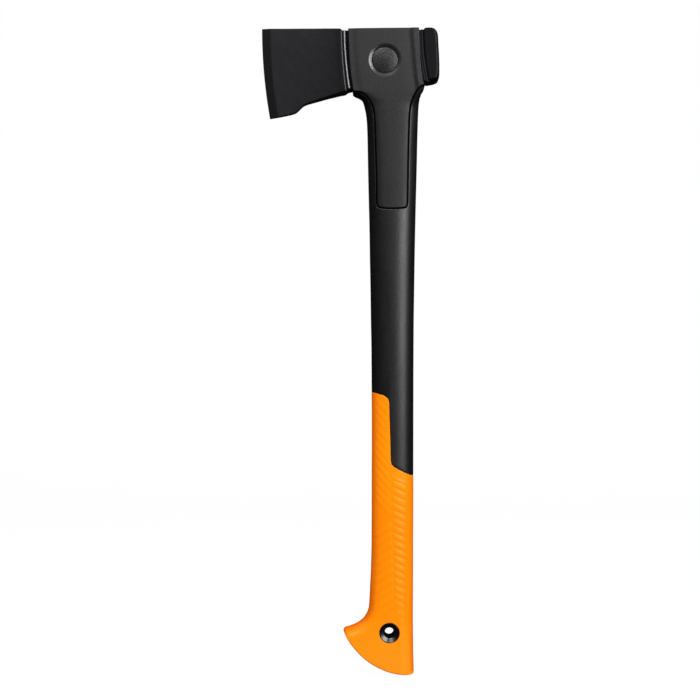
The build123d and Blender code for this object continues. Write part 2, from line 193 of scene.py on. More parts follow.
# ---------------------------------------------------------------- flat plans of skins
class Plan:
    """Points and fixed lines of a flat mesh; each point has a drop below the skin."""

    def __init__(self):
        self.points, self.edges, self.drops = [], [], []

    def add_points(self, points, drop):
        self.points += [tuple(p) for p in points]
        self.drops += list(np.broadcast_to(drop, len(points)))

    def add_line(self, line, drop, closed=False):
        start, last = len(self.points), len(self.points) + len(line) - 1
        self.add_points(line, drop)
        self.edges += [(i, i + 1) for i in range(start, last)]
        if closed:
            self.edges.append((last, start))

    def clearance(self, points):
        """Distance of points to the nearest point already planned."""
        tree = nearest_tree(self.points)
        return np.array([tree.find((p[0], p[1], 0))[2] for p in points])

    def triangulate(self):
        """Points, triangles and drops of the constrained Delaunay mesh."""
        result = mgeo.delaunay_2d_cdt(
            [Vector(p) for p in self.points], self.edges, [], 0, 1e-7, True
        )
        points = np.array([(p.x, p.y) for p in result[0]])
        drops = np.array([self.drops[source[0]] if source else 0.0 for source in result[3]])
        return points, np.array([tuple(f) for f in result[2]]), drops


# Half skins are planned flat: share of the way from front to back times this width, by height.
PLAN_WIDTH = 56.0


def on_border(points):
    return (np.abs(points[:, 0]) < 1e-6) | (np.abs(points[:, 0] - PLAN_WIDTH) < 1e-6)


def to_borders(line, count, rise):
    """Carry a plan line out to both borders, up to the front and down to the back by rise."""
    (x1, y1), (x2, y2) = line[0], line[-1]
    head = np.c_[np.linspace(0, x1, count), y1 + np.linspace(1, 0, count) * rise][:-1]
    tail = np.c_[np.linspace(x2, PLAN_WIDTH, count), y2 - np.linspace(0, 1, count) * rise][1:]
    return np.vstack([head, line, tail])


# ---------------------------------------------------------------- objects
def two_skins(x, z, first_y, second_y, triangles):
    """The same triangles at two values of y, wound opposite ways."""
    count = len(x)
    verts = np.vstack([np.c_[x, first_y, z], np.c_[x, second_y, z]])
    faces = [tuple(f) for f in triangles]
    faces += [(f[0] + count, f[2] + count, f[1] + count) for f in triangles]
    return verts, faces


def to_object(name, verts, faces, node, slot, smooth_angle, attrs=None, fill=False):
    """Welded, smooth-shaded object that stands in for a CAD node."""
    mesh = bpy.data.meshes.new(name)
    mesh.from_pydata(
        [tuple(v) for v in (np.asarray(verts) * MM)], [], [list(map(int, f)) for f in faces]
    )
    for key, values in (attrs or {}).items():
        layer = mesh.attributes.new(key, "FLOAT", "POINT")
        layer.data.foreach_set("value", np.asarray(values, np.float32))

    bm = bmesh.new()
    bm.from_mesh(mesh)
    bmesh.ops.remove_doubles(bm, verts=bm.verts, dist=2e-6)
    bmesh.ops.dissolve_degenerate(bm, dist=1e-7, edges=bm.edges)
    loose = [v for v in bm.verts if not v.link_faces]
    bmesh.ops.delete(bm, geom=loose, context="VERTS")
    if fill:
        rim = [e for e in bm.edges if len(e.link_faces) == 1]
        bmesh.ops.holes_fill(bm, edges=rim, sides=0)
    bmesh.ops.recalc_face_normals(bm, faces=bm.faces)
    limit = math.radians(smooth_angle)
    for face in bm.faces:
        face.smooth = True
    for edge in bm.edges:
        edge.smooth = not (len(edge.link_faces) == 2 and edge.calc_face_angle(0.0) > limit)
    bm.to_mesh(mesh)
    bm.free()
    mesh.update()

    ob = bpy.data.objects.new(name, mesh)
    bpy.context.scene.collection.objects.link(ob)
    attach(ob, "root")
    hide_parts(node)
    mesh.materials.clear()
    mesh.materials.append(MATERIALS[slot])
    return ob


def revolve(profile, centre, side, count):
    """Turn (radius, y) pairs about the y axis through centre (x, z); side mirrors y."""
    angles = np.linspace(0, 2 * math.pi, count, endpoint=False)
    verts, faces = [], []
    for radius, y in profile:
        verts += [
            (centre[0] + radius * math.cos(a), side * y, centre[1] + radius * math.sin(a))
            for a in angles
        ]
    for j in range(len(profile) - 1):
        low, high = j * count, (j + 1) * count
        for i in range(count):
            k = (i + 1) % count
            faces.append((low + i, low + k, high + k, high + i))
    return np.array(verts), faces


# ---------------------------------------------------------------- the handle's form
# z, front x, back x, half thickness
FORM = [
    (559.7, -38.2, 27.4, 17), (545, -37.8, 27.9, 17), (529.7, -37, 28.7, 17),
    (515, -35.6, 30.3, 17), (508.6, -34.7, 31.6, 17), (507.2, -34.5, 32.8, 17),
    (505.8, -34.3, 32.6, 17), (504.2, -34.1, 31.5, 17), (502.3, -33.9, 30.5, 17),
    (500.6, -33.6, 29.7, 17), (499.4, -32.8, 29.55, 17), (498.5, -30.85, 29.4, 16.95),
    (497.5, -28.65, 28.9, 16.95), (496.2, -27.05, 28.45, 16.9), (494.6, -25.65, 28.25, 16.9),
    (492, -24.25, 27.85, 16.8), (488.5, -23.05, 27.45, 16.7), (484, -22, 27.2, 16.6),
    (478, -21.1, 26.95, 16.4), (470, -20.55, 26.7, 16.2), (457.5, -20.15, 26.35, 15.9),
    (440, -19.85, 26, 15.5), (420, -19.45, 25.5, 15.1), (400, -19, 25, 14.7),
    (373.5, -18.35, 24.4, 14.3), (345.5, -17.95, 23.85, 14), (317.5, -17.4, 23.45, 13.8),
    (289.5, -17.05, 23.05, 13.7), (261.5, -16.55, 22.85, 13.7), (233.5, -16.35, 22.75, 13.7),
    (205.5, -16.2, 22.7, 13.7), (177.5, -16.15, 22.65, 13.7), (149.5, -16.25, 22.6, 13.8),
    (121.5, -16.25, 22.55, 13.9), (93.5, -16.35, 22.45, 14), (79.4, -16.4, 22.4, 14.1),
    (65.4, -16.75, 22.4, 14.25), (51.4, -17.25, 22.35, 14.4), (37.4, -18, 22.3, 14.6),
    (28.1, -18.5, 22.3, 14.75), (8.5, -28, 22.15, 15), (-6, -40, 22.2, 15),
    (-46, -43.6, 22.6, 15),
]


def throat_trim(z):
    """The front is cut back a little where the shaft flares into the collar."""
    return 0.9 if 491 < z < 502.9 else 0.45 if 487 < z <= 491 else 0.0


# the front leaves out the station at 504.2
front = pchip([(row[0] + throat_trim(row[0]), row[1]) for row in FORM if row[0] != 504.2])
back = pchip([(row[0], row[2]) for row in FORM])
half = pchip([(row[0], row[3]) for row in FORM])
# z, superellipse power of the section
squareness = pchip([
    (-46, 2.35), (100, 2.3), (260, 2.28), (340, 2.3), (400, 2.4), (440, 2.55),
    (470, 2.8), (490, 3.2), (500, 4.0), (570, 4.0),
])
HANDLE_TOP = FORM[0][0]
ACROSS = np.linspace(0, 1, 401)


def boxed(z):
    """How far the section has turned from oval shaft to square collar."""
    return smooth(486.0, 503.0, z)


def middle(z):
    return (front(z) + back(z)) / 2


def section(across, z):
    """x and half thickness of the skin: across is 0 at the front, 1 at the back."""
    across, z = np.broadcast_arrays(np.asarray(across, float), np.asarray(z, float))
    front_x, back_x, half_y = front(z), back(z), half(z)
    half_x = (back_x - front_x) / 2
    cosine = np.cos(math.pi * across)
    oval_x = (front_x + back_x) / 2 - half_x * cosine
    oval_y = half_y * superellipse(cosine, squareness(z))
    # square section with rounded corners and a slight crown
    corner, crown = 1.6, 0.25
    # shares of across taken by half the end face, the corner and half the side
    end_share, corner_share, side_share = 0.16, 0.08, 0.26
    corner_end = end_share + corner_share
    edge = np.minimum(across, 1 - across)
    rise = np.clip(edge / end_share, 0, 1) * (half_y - crown - corner)
    turn = np.clip((edge - end_share) / corner_share, 0, 1) * math.pi / 2
    side = np.clip((edge - corner_end) / side_share, 0, 1)
    in_corner = edge < corner_end
    depth = np.where(in_corner, corner * (1 - np.cos(turn)), corner + side * (half_x - corner))
    box_y = np.where(in_corner, rise + corner * np.sin(turn), half_y - crown * (1 - side) ** 2)
    box_x = np.where(across < 0.5, front_x + depth, back_x - depth)
    weight = boxed(z)
    return oval_x + (box_x - oval_x) * weight, oval_y + (box_y - oval_y) * weight


def across_of(x, z):
    """Share across the skin that has this x at this height."""
    return np.array([np.interp(a, section(ACROSS, b)[0], ACROSS) for a, b in zip(x, z)])


def clear_of_edges(line, margin):
    """The part of an (x, z) line that stays margin inside the handle's outline."""
    x, z = line.T
    return line[(x > front(z) + margin) & (x < back(z) - margin)]


# lower edge of the side panel (x, z), front to back round the tongue's tip
PANEL_LOW = curve([
    (-33.2, 501.15), (-29.0, 501.0), (-25.8, 500.3), (-22.0, 498.2), (-19.1, 495.1),
    (-16.7, 491.2), (-14.9, 487.1), (-13.75, 481.7), (-13.0, 474.3), (-12.5, 460.4),
    (-11.8, 437.3), (-11.2, 414.3), (-11.05, 399.0), (-10.9, 396.6), (-10.2, 395.1),
    (-9.0, 394.35), (-7.2, 394.1), (-2.5, 393.6), (2.4, 393.4), (7.5, 393.6), (12.2, 394.0),
    (14.2, 394.3), (15.3, 395.1), (15.95, 396.5), (16.2, 399.0), (16.55, 419.0),
    (16.95, 446.7), (17.45, 465.2), (17.95, 478.9), (18.9, 487.6), (20.3, 492.8),
    (22.1, 497.4), (24.9, 502.3), (28.1, 505.6), (31.0, 507.0), (32.6, 507.35),
], 0.55)
PANEL_GAP = 1.25
PANEL_THICKNESS = 2.2


def crest(x, z):
    """The collar's top line rises a little towards the back."""
    return 0.0102 * (x + 8.0) * smooth(535.0, 559.0, z)


def pocket_floor(y, z):
    """Floor of the panel's pocket: flat under the cover, even depth under the tongue."""
    weight = boxed(z)
    flat = np.minimum(y, half(z) - PANEL_THICKNESS - 0.15)
    return flat * weight + np.maximum(y - 1.75, 0.2) * (1 - weight)


# ---------------------------------------------------------------- handle core
CORE_BOTTOM = 122.0
TO_FLOOR = 9.0  # a drop larger than any pocket depth; the floor limits it
ROLL_START, ROLL = 558.9, 0.8  # rolled edge round the top of the collar
GRIP_SINK = 0.9  # how far the core steps in under the soft grip

# upper boundary of the grip (x, z), front to back, in three runs
SEAM = np.vstack([
    curve([
        (-16.9, 222.7), (-14.2, 222.2), (-8.7, 220.75), (-5.0, 219.6), (-2.3, 217.9),
        (-0.75, 215.4), (-0.25, 212.0),
    ], 0.5),
    curve([(-0.25, 212.0), (0.12, 200.0), (0.5, 187.9), (0.92, 172.0), (1.25, 160.0)], 0.7)[1:],
    curve([
        (1.25, 160.0), (1.5, 157.7), (2.2, 155.9), (3.6, 154.3), (5.6, 153.0),
        (10.7, 150.2), (17.3, 147.0), (22.6, 145.2),
    ], 0.5)[1:],
])


def grip_top_at(x):
    """Height of the grip's upper boundary at x."""
    rising = np.maximum.accumulate(SEAM[:, 0] + np.arange(len(SEAM)) * 1e-6)
    return np.interp(x, rising, SEAM[:, 1])


def core_rows():
    """Heights of the core's lattice rows, closer near the pocket and in the top roll."""
    rows = [HANDLE_TOP]
    while rows[-1] > CORE_BOTTOM:
        rows.append(max(rows[-1] - (1.0 if rows[-1] > 384 else 2.4), CORE_BOTTOM))
    rows = [z for z in rows if not 558.85 < z < 559.65]
    return sorted(set(rows + [ROLL_START + ROLL * k / 6 for k in range(6)]), reverse=True)


def core_skin():
    """Half skin with the panel's pocket sunk in: x, y, z, triangles and the mask of painted
    shade.
    """
    plan = Plan()
    # lines over the pocket's rim: (distance out from the pocket, drop)
    rim_lines = (
        (1.3, 0.0), (0.62, 0.0), (0.34, 0.04), (0.16, 0.16), (0.03, 0.4), (0.0, TO_FLOOR)
    )
    for offset, drop in rim_lines:
        rim = clear_of_edges(shifted(PANEL_LOW, -(PANEL_GAP + offset)), 1.9)
        rim = np.c_[across_of(*rim.T) * PLAN_WIDTH, rim[:, 1]]
        rim = to_borders(rim, 14, 0.0)
        plan.add_line(rim, drop)

    points = lattice(np.linspace(0, 1, 61) * PLAN_WIDTH, core_rows())
    gap = plan.clearance(points)
    points = points[(gap > 0.5) | (on_border(points) & (gap > 0.12))]
    pocket = np.vstack([rim, [[PLAN_WIDTH, HANDLE_TOP + 5], [0, HANDLE_TOP + 5]]])
    plan.add_points(points, np.where(inside(pocket, points), TO_FLOOR, 0.0))

    flat, triangles, drops = plan.triangulate()
    z = flat[:, 1]
    x, y = section(flat[:, 0] / PLAN_WIDTH, z)
    y = np.maximum(y - drops, np.minimum(y, pocket_floor(y, z)))
    # shade under the collar's flare
    under = 0.75 * smooth(491.5, 494.5, z) * (1 - smooth(507.0, 509.0, z)) * smooth(2.0, 6.0, y)
    return x, y, z, triangles, np.maximum(smooth(0.2, 0.8, drops), under)


def build_core():
    x, y, z, triangles, painted_shade = core_skin()
    # the skin steps in where the soft grip lies over it
    sink = smooth(0.25, 2.0, grip_top_at(x) - z) * GRIP_SINK
    mid_x = middle(z)
    x = mid_x + (x - mid_x) * (1 - sink / 19.0)
    y = y * (1 - sink / 13.8)
    turn = np.clip((z - ROLL_START) / ROLL, 0, 1) * math.pi / 2
    inset = ROLL * (1 - np.cos(turn))
    z = np.where(z > ROLL_START, ROLL_START + ROLL * np.sin(turn), z)
    x = mid_x + (x - mid_x) * (1 - inset / 33.0)
    y = y * (1 - inset / 15.0)
    z = z + crest(x, z)
    return to_object(
        "handle_core_skin", *two_skins(x, z, -y, y, triangles), "handle_core",
        "black_composite", smooth_angle=32, attrs={"painted_shade": np.r_[painted_shade, painted_shade]}, fill=True,
    )


# ---------------------------------------------------------------- soft grip
# Rows are level down the shaft; below SWEEP_START they turn into the butt's sweep,
# which the row numbered BUTT_ROW meets. Rows past that close the butt's end face.
SWEEP_START = 60.0
SWEEP_ROWS = 85.0
BUTT_ROW = SWEEP_START - SWEEP_ROWS
END_ROWS = 10
HOLE_RADIUS = 9.5
GRIP_WALL = 1.1

# outlines (x, z): front edge down to the hook, back edge down, butt from front to back
GRIP_FRONT = curve([
    (-16.85, 60.0), (-17.25, 51.4), (-17.65, 44.0), (-18.0, 37.4), (-18.45, 28.1),
    (-18.95, 22.5), (-19.65, 19.7), (-20.7, 16.9), (-22.3, 14.1), (-24.6, 11.3),
    (-28.05, 8.5), (-33.5, 5.7), (-38.4, 4.0), (-40.6, 3.5), (-41.85, 2.75), (-42.4, 1.5),
], 0.4)
GRIP_BACK = curve([
    (22.38, 60.0), (22.3, 40.0), (22.2, 20.0), (22.25, 0.0), (22.45, -15.0),
    (22.75, -28.0), (22.9, -36.1),
], 0.5)
BUTT = curve([
    (-42.4, 1.5), (-42.25, 0.35), (-41.4, -1.5), (-38.6, -6.35), (-35.1, -11.6),
    (-30.35, -17.2), (-24.8, -22.85), (-17.35, -28.55), (-7.0, -34.1), (0.6, -36.85),
    (9.3, -38.6), (16.3, -39.1), (19.9, -39.05), (21.7, -38.75), (22.6, -37.9), (22.9, -36.1),
], 0.5)


def with_shaft(edge, line, every):
    """A thinned edge of the shaft, carried on by a grip outline."""
    shaft = [(float(edge(z)), z) for z in np.arange(110.0, 60.5, -1.0)]
    return np.vstack([np.vstack([shaft, line])[::every], line[-1:]])


FRONT_EDGE = with_shaft(front, GRIP_FRONT, 3)
BACK_EDGE = with_shaft(back, GRIP_BACK, 4)


def grip_xz(across, row):
    """(x, z) of points given by their share across the grip and their row."""
    share = 0.5 * (1 - np.cos(math.pi * across))
    down = np.clip((SWEEP_START - row) / SWEEP_ROWS, 0, 1)
    z = np.maximum(row, SWEEP_START)
    front_line, back_line = along(GRIP_FRONT, down), along(GRIP_BACK, down)
    first, last = (1 - share)[:, None], share[:, None]
    # what the butt's outline adds to the straight line between its ends
    sag = along(BUTT, share) - (first * BUTT[0] + last * BUTT[-1])
    low = first * front_line + last * back_line + (down**2.2)[:, None] * sag
    half_x = (back(z) - front(z)) / 2
    high = np.c_[middle(z) - half_x * np.cos(math.pi * across), z]
    return np.where((row < SWEEP_START)[:, None], low, high)


def to_grip_rows(points):
    """Inverse of grip_xz, by Newton steps from the nearest sample."""
    samples = lattice(np.linspace(0.01, 0.99, 90), np.linspace(-24.5, 110, 180))
    tree = nearest_tree(grip_xz(*samples.T))
    place = np.array([samples[tree.find((x, z, 0))[1]] for x, z in points])
    for _ in range(12):
        across, row = place.T
        here = grip_xz(across, row)
        by_across = (grip_xz(across + 1e-4, row) - here) / 1e-4
        by_row = (grip_xz(across, row + 1e-3) - here) / 1e-3
        miss = points - here
        det = by_across[:, 0] * by_row[:, 1] - by_across[:, 1] * by_row[:, 0]
        step_across = (miss[:, 0] * by_row[:, 1] - miss[:, 1] * by_row[:, 0]) / det
        step_row = (by_across[:, 0] * miss[:, 1] - by_across[:, 1] * miss[:, 0]) / det
        place = place + np.c_[np.clip(step_across, -0.05, 0.05), np.clip(step_row, -3, 3)]
        place[:, 0] = np.clip(place[:, 0], 0.0005, 0.9995)
    return place


def rib(phase, sharp):
    """Rounded ridge with a narrower valley, 0..1."""
    share = phase - np.floor(phase)
    return np.power(np.maximum(1 - (2 * share - 1) ** 2, 0), sharp)


def ribs(x, z):
    """Height of the raised herringbone on the sides of the grip."""
    spine = np.interp(z, [15, 60, 104, 160, 222], [5.9, 4.2, 1.3, 0.3, -1.0])
    # no ribs round the hang hole or near the butt
    calm = smooth(11.0, 14.0, np.hypot(x, z)) * smooth(-30.0, -16.0, z)
    # strip towards the back
    start = np.interp(z, [-25, 15, 60, 104, 140, 160], [5.0, 4.6, 3.6, 2.7, 1.6, 0.9])
    slant = z + 0.62 * (5.04 - spine) + 0.476 * (x - 6.44)
    weight = smooth(0, 1.9, x - start) * smooth(0, 3.2, 17.4 - x)
    top = 145.2 - 0.42 * (x - 5.0)
    weight = weight * smooth(0, 4.0, top - z) * (0.22 + 0.78 * smooth(6.0, 44.0, z)) * calm
    rear = 0.40 * weight * rib((slant - 1.6) / 7.08, 0.8)
    # strip towards the front, slanting one way above the meeting line, the other below
    start = front(np.maximum(z, 26.0)) + 2.2
    end = np.interp(z, [-25, 15, 60, 104, 140, 222], [5.2, 5.0, 4.1, 2.3, 0.2, -1.6])
    weight = smooth(0, 3.0, x - start) * smooth(0, 2.4, end - x)
    above = z + 1.15 * (x - end) - 104.7
    below = 103.9 - (z - 0.68 * (x - end))
    upper = smooth(0, 3.0, above) * smooth(0.0, 12.0, 219.0 - 104.7 - above)
    lower = smooth(0, 3.0, below) * (0.3 + 0.7 * smooth(2.0, 40.0, z)) * calm
    return rear + weight * (
        0.25 * upper * rib(above / 8.55, 0.9) + 0.40 * lower * rib(below / 8.2, 0.9)
    )


def grip_y(x, z, row):
    """Half thickness of the grip, without ribs."""
    half_y = half(np.maximum(z, -46))
    shaft_z = np.maximum(row, SWEEP_START)
    half_x = (back(shaft_z) - front(shaft_z)) / 2
    power = squareness(shaft_z)
    offset = np.clip(np.abs(x - middle(shaft_z)) / half_x, 0, 1)
    on_shaft = half_y * superellipse(offset, power)

    # lower down, the skin falls away with the distance to the front and back outlines
    points = np.c_[x, z]
    down = np.clip((SWEEP_START - row) / SWEEP_ROWS, 0, 1)
    front_reach = half_x + (10.5 - half_x) * smooth(0.05, 0.62, down)
    back_reach = half_x + (13.0 - half_x) * smooth(0.1, 0.8, down)
    power = power + (2.1 - power) * smooth(0.1, 0.7, down)
    at_front, at_back = (
        superellipse(1 - np.minimum(distance(edge, points) / reach, 1), power)
        for edge, reach in ((FRONT_EDGE, front_reach), (BACK_EDGE, back_reach))
    )
    on_sweep = half_y * at_front * at_back / np.maximum(np.maximum(at_front, at_back), 1e-6)
    return on_shaft + (on_sweep - on_shaft) * (1 - smooth(61.0, 78.0, row))


def grip_plan():
    """Plan of the grip's half skin, and the zone below its seam."""
    plan = Plan()
    zone = None
    # seam lines: (distance below the seam, drop)
    for offset, drop in ((0.0, 0.42), (0.1, 0.2), (0.26, 0.05), (0.5, 0.0), (0.95, 0.0)):
        line = clear_of_edges(shifted(SEAM, -offset) if offset else SEAM, 0.25)
        x, z = line.T
        cosine = (middle(z) - x) / ((back(z) - front(z)) / 2)
        across = np.arccos(np.clip(cosine, -1, 1)) / math.pi
        line = to_borders(np.c_[across * PLAN_WIDTH, z], 12, 0.35)
        plan.add_line(line, drop)
        if zone is None:
            seam = line
            zone = np.vstack([seam, [[PLAN_WIDTH, -100], [0, -100]]])
    # rings round the hang hole: (distance out, drop)
    angles = np.linspace(0, 2 * math.pi, 120, endpoint=False)
    for offset, drop in ((0.0, 0.35), (0.12, 0.15), (0.3, 0.03), (0.6, 0.0), (1.2, 0.0)):
        radius = HOLE_RADIUS + offset
        ring = to_grip_rows(np.c_[radius * np.cos(angles), radius * np.sin(angles)])
        plan.add_line(np.c_[ring[:, 0] * PLAN_WIDTH, ring[:, 1]], drop, closed=True)

    # lattice rows, with extra rows rolling over the butt's edge
    butt_roll = (3.2, 2.6, 2.1, 1.7, 1.35, 1.05, 0.8, 0.58, 0.4, 0.25, 0.12, 0.03, 0.0)
    rows = [
        *np.arange(223.5, SWEEP_START, -0.78),
        *(SWEEP_START - SWEEP_ROWS * np.linspace(0, 0.955, 92)),
        *(BUTT_ROW + rise for rise in butt_roll),
        *(BUTT_ROW - 1.0 * k for k in range(1, END_ROWS + 1)),
    ]
    points = lattice(np.linspace(0, 1, 65) * PLAN_WIDTH, sorted(set(np.round(rows, 4))))
    gap = plan.clearance(points)
    side = on_border(points)
    seam_end = np.where(points[:, 0] < 1, seam[0, 1], seam[-1, 1])
    in_zone = inside(zone, points) | (side & (points[:, 1] < seam_end))
    plan.add_points(points[in_zone & ((gap > 0.42) | (side & (gap > 0.1)))], 0.0)
    return plan, zone


def build_grip():
    plan, zone = grip_plan()
    flat, triangles, drops = plan.triangulate()
    across, row = np.clip(flat[:, 0] / PLAN_WIDTH, 0, 1), flat[:, 1]
    body_row = np.maximum(row, BUTT_ROW)
    x, z = grip_xz(across, body_row).T
    y = grip_y(x, z, body_row)
    y = y + ribs(x, z) * smooth(BUTT_ROW + 1.5, BUTT_ROW + 9.0, row)
    # crisp rolled edge along the butt
    radius = 1.5
    rolled = y - edge_roll(distance(BUTT, np.c_[x, z]), radius)
    y = np.where((row < 0) & (row >= BUTT_ROW), np.maximum(rolled, np.minimum(y, 0.0)), y)
    # the butt's end face, slightly crowned
    end_face = row < BUTT_ROW - 1e-6
    inward = np.clip((BUTT_ROW - row) / END_ROWS, 0, 1)
    normal = np.c_[np.gradient(BUTT[:, 1]), -np.gradient(BUTT[:, 0])]
    normal /= np.hypot(*normal.T)[:, None]
    run = run_length(BUTT)
    at = 0.5 * (1 - np.cos(math.pi * across)) * run[-1]
    end_y = np.maximum(y - radius, 0)
    crown = 0.35 * (1 - (1 - inward) ** 2) * np.clip(end_y / 8, 0, 1)
    x = np.where(end_face, x + np.interp(at, run, normal[:, 0]) * crown, x)
    z = np.where(end_face, z + np.interp(at, run, normal[:, 1]) * crown, z)
    y = np.where(end_face, end_y * (1 - inward), y)
    y = np.maximum(y - drops, 0)
    y[on_border(flat)] = 0.0
    # leave out triangles above the seam and inside the hole
    centre = flat[triangles].mean(axis=1)
    from_hole = np.hypot(x[triangles].mean(axis=1), z[triangles].mean(axis=1))
    in_hole = (from_hole < HOLE_RADIUS - 0.01) & (centre[:, 1] > BUTT_ROW)
    triangles = triangles[(inside(zone, centre) | (centre[:, 1] < 100)) & ~in_hole]
    ob = to_object(
        "grip_skin", *two_skins(x, z, -y, y, triangles), "grip", "orange_grip", smooth_angle=40
    )
    wall = ob.modifiers.new("wall", "SOLIDIFY")
    wall.thickness = GRIP_WALL * MM
    wall.offset = -1.0


# ---------------------------------------------------------------- side panels
LOCK = (-4.2, 529.9)  # centre (x, z) of the round button and its conical seat
CONE_RADIUS, SEAT_RADIUS = 14.95, 12.05
# rings of the seat: (radius, drop)
SEAT_RINGS = (
    (SEAT_RADIUS, 1.6), (SEAT_RADIUS + 0.06, 1.22), (SEAT_RADIUS + 0.28, 1.08),
    (SEAT_RADIUS + 0.75, 0.88), (SEAT_RADIUS + 1.3, 0.66), (SEAT_RADIUS + 1.85, 0.44),
    (SEAT_RADIUS + 2.35, 0.24), (CONE_RADIUS - 0.08, 0.12), (CONE_RADIUS + 0.12, 0.04),
    (CONE_RADIUS + 0.35, 0.01), (CONE_RADIUS + 0.7, 0.0),
)


def from_lock(x, z):
    return np.hypot(x - LOCK[0], z - LOCK[1])


def panel_outline():
    """Closed outline of a side panel (x, z), counter-clockwise from the top front corner."""
    top = 559.45
    z = np.arange(top, 501.6, -0.6)
    front_side = np.c_[front(z) + 0.05, z]
    z = np.arange(507.9, top, 0.6)
    back_side = np.c_[back(z) - 0.05, z]
    top_x = np.linspace(back_side[-1, 0], front_side[0, 0], 110)
    low = clear_of_edges(PANEL_LOW, 0.3)
    low_front = resample([(front(501.3) + 0.05, 501.25), tuple(low[0])], 0.5)[:-1]
    low_back = resample([tuple(low[-1]), (back(507.5) - 0.05, 507.45)], 0.5)[1:]
    top_side = np.c_[top_x, np.full(110, top)][1:-1]
    loop = np.vstack([front_side, low_front, low, low_back, back_side, top_side])
    loop = loop[np.r_[True, np.hypot(*np.diff(loop, axis=0).T) > 0.05]]
    return resample(np.vstack([loop, loop[:1]]), 0.55)[:-1]


def panel_plan(loop):
    plan = Plan()
    tangent = np.roll(loop, -1, axis=0) - np.roll(loop, 1, axis=0)
    tangent /= np.hypot(*tangent.T)[:, None]
    inward = np.c_[-tangent[:, 1], tangent[:, 0]]
    # rolled rim: (distance in from the outline, drop)
    for offset, drop in ((0.0, 0.62), (0.07, 0.36), (0.2, 0.16), (0.4, 0.04), (0.66, 0.0)):
        plan.add_line(loop + inward * offset, drop, closed=True)
    last_offset = 1.1
    line = loop + inward * last_offset
    gap = distance(np.vstack([loop, loop[:1]]), line)
    plan.add_points(line[gap > last_offset * 0.96], 0.0)
    angles = np.linspace(0, 2 * math.pi, 216, endpoint=False)
    for radius, drop in SEAT_RINGS:
        if SEAT_RADIUS + 0.2 < radius < CONE_RADIUS - 0.2:
            drop = drop + rng.uniform(-0.03, 0.03, len(angles))
        ring = np.c_[LOCK[0] + radius * np.cos(angles), LOCK[1] + radius * np.sin(angles)]
        plan.add_line(ring, drop, closed=True)
    points = lattice(np.arange(-40, 36, 0.85), np.arange(392, 560, 0.85))
    points = points[inside(loop, points)]
    points = points[from_lock(*points.T) > CONE_RADIUS + 0.7]
    plan.add_points(points[plan.clearance(points) > 0.5], 0.0)
    return plan


def panel_y(x, z):
    """Heights of the panel's face, before drops, and of its underside."""
    front_x, back_x, half_y = front(z), back(z), half(z)
    offset = np.clip(np.abs(x - (front_x + back_x) / 2) / ((back_x - front_x) / 2), 0, 0.96)
    oval = half_y * superellipse(offset, squareness(z))
    box = half_y - 0.25 * offset**2
    y = oval + (box - oval) * boxed(z)
    under = pocket_floor(y, z) + 0.03
    # the tongue's face is a little flatter than the shaft it lies in
    tongue = 1 - smooth(470, 500, z)
    mid_x = np.interp(z, [394, 500], [2.4, 2.0])
    flat = half_y * 0.985 - 0.10 * ((x - mid_x) / 14.0) ** 2
    y = y + (np.minimum(flat, y + 0.7) - y) * tongue * 0.4
    y = y + 0.1
    # the collar cover dips behind its front margin and lifts sharply to one at the back
    collar = smooth(494.0, 510.0, z)
    margin = front_x + np.interp(z, [500, 559.7], [6.4, 5.6])
    dip = 0.30 * (1 - smooth(margin - 2.2, margin + 2.0, x))
    y = y - collar * (dip - 0.12 * smooth(margin, margin + 4.0, x))
    ridge = np.interp(
        z, [498, 505, 515.8, 529.7, 552.7, 559.7], [28.6, 26.9, 25.3, 24.0, 22.0, 21.8]
    )
    fall = 0.26 * np.clip((x - (ridge - 15.0)) / 11.5, 0, 1) ** 1.6
    lift = 1.16 * np.clip((x - (ridge - 3.9)) / 3.9, 0, 1) ** 1.5
    y = y + collar * (lift - fall) - 0.03 * np.clip(x - ridge - 0.4, 0, 9) * collar
    return y, under


def build_panel(name, node, side):
    loop = panel_outline()
    flat, triangles, drops = panel_plan(loop).triangulate()
    x, z = flat.T
    y, under = panel_y(x, z)
    y = y - drops
    under = np.minimum(under, y - 0.15)
    centre = flat[triangles].mean(axis=1)
    in_seat = from_lock(*centre.T) <= SEAT_RADIUS - 0.02
    triangles = triangles[inside(loop, centre) & ~in_seat]
    radius = from_lock(x, z)
    z = z + crest(x, z)
    cone = 1 - smooth(CONE_RADIUS - 0.15, CONE_RADIUS + 0.2, radius)
    count = len(x)
    # painted shade over the rolled rim in the joint and over the underside
    painted_shade = np.r_[smooth(0.3, 0.6, drops) * (1 - cone), np.ones(count)]
    # wear has polished the front half of the cone, the rest keeps the moulded grain
    turn = ((x - LOCK[0]) * -0.985 + (z - LOCK[1]) * 0.17) / np.maximum(radius, 1e-6)
    cone = np.r_[cone * (0.12 + 0.88 * smooth(-0.1, 0.75, turn)), np.zeros(count)]
    verts, faces = two_skins(x, z, side * y, side * under, triangles)
    # walls stand on the edges that only one triangle uses
    border = {}
    for triangle in triangles:
        for i in range(3):
            edge = (int(triangle[i]), int(triangle[(i + 1) % 3]))
            key = (min(edge), max(edge))
            border[key] = None if key in border else edge
    for edge in border.values():
        if edge:
            faces.append((edge[1], edge[0], edge[0] + count, edge[1] + count))
    to_object(
        name, verts, faces, node, "grey_panel", smooth_angle=34,
        attrs={"painted_shade": painted_shade, "cone": cone},
    )


# ---------------------------------------------------------------- forged head
# The head is laid out in straight columns; each is then swept back towards its bottom.
LEAN_TOP, LEAN_SPAN = 561.1, 56.0
# column, sweep one LEAN_SPAN below LEAN_TOP
SWEEP = pchip([
    (-118.65, 3.36), (-111.0, 3.36), (-80.0, 3.45), (-44.6, 3.72), (-41.7, 4.5), (-36.0, 4.75),
    (0.0, 5.6), (32.0, 6.6), (36.0, 4.3), (42.0, 1.3), (46.3, 0.25),
])
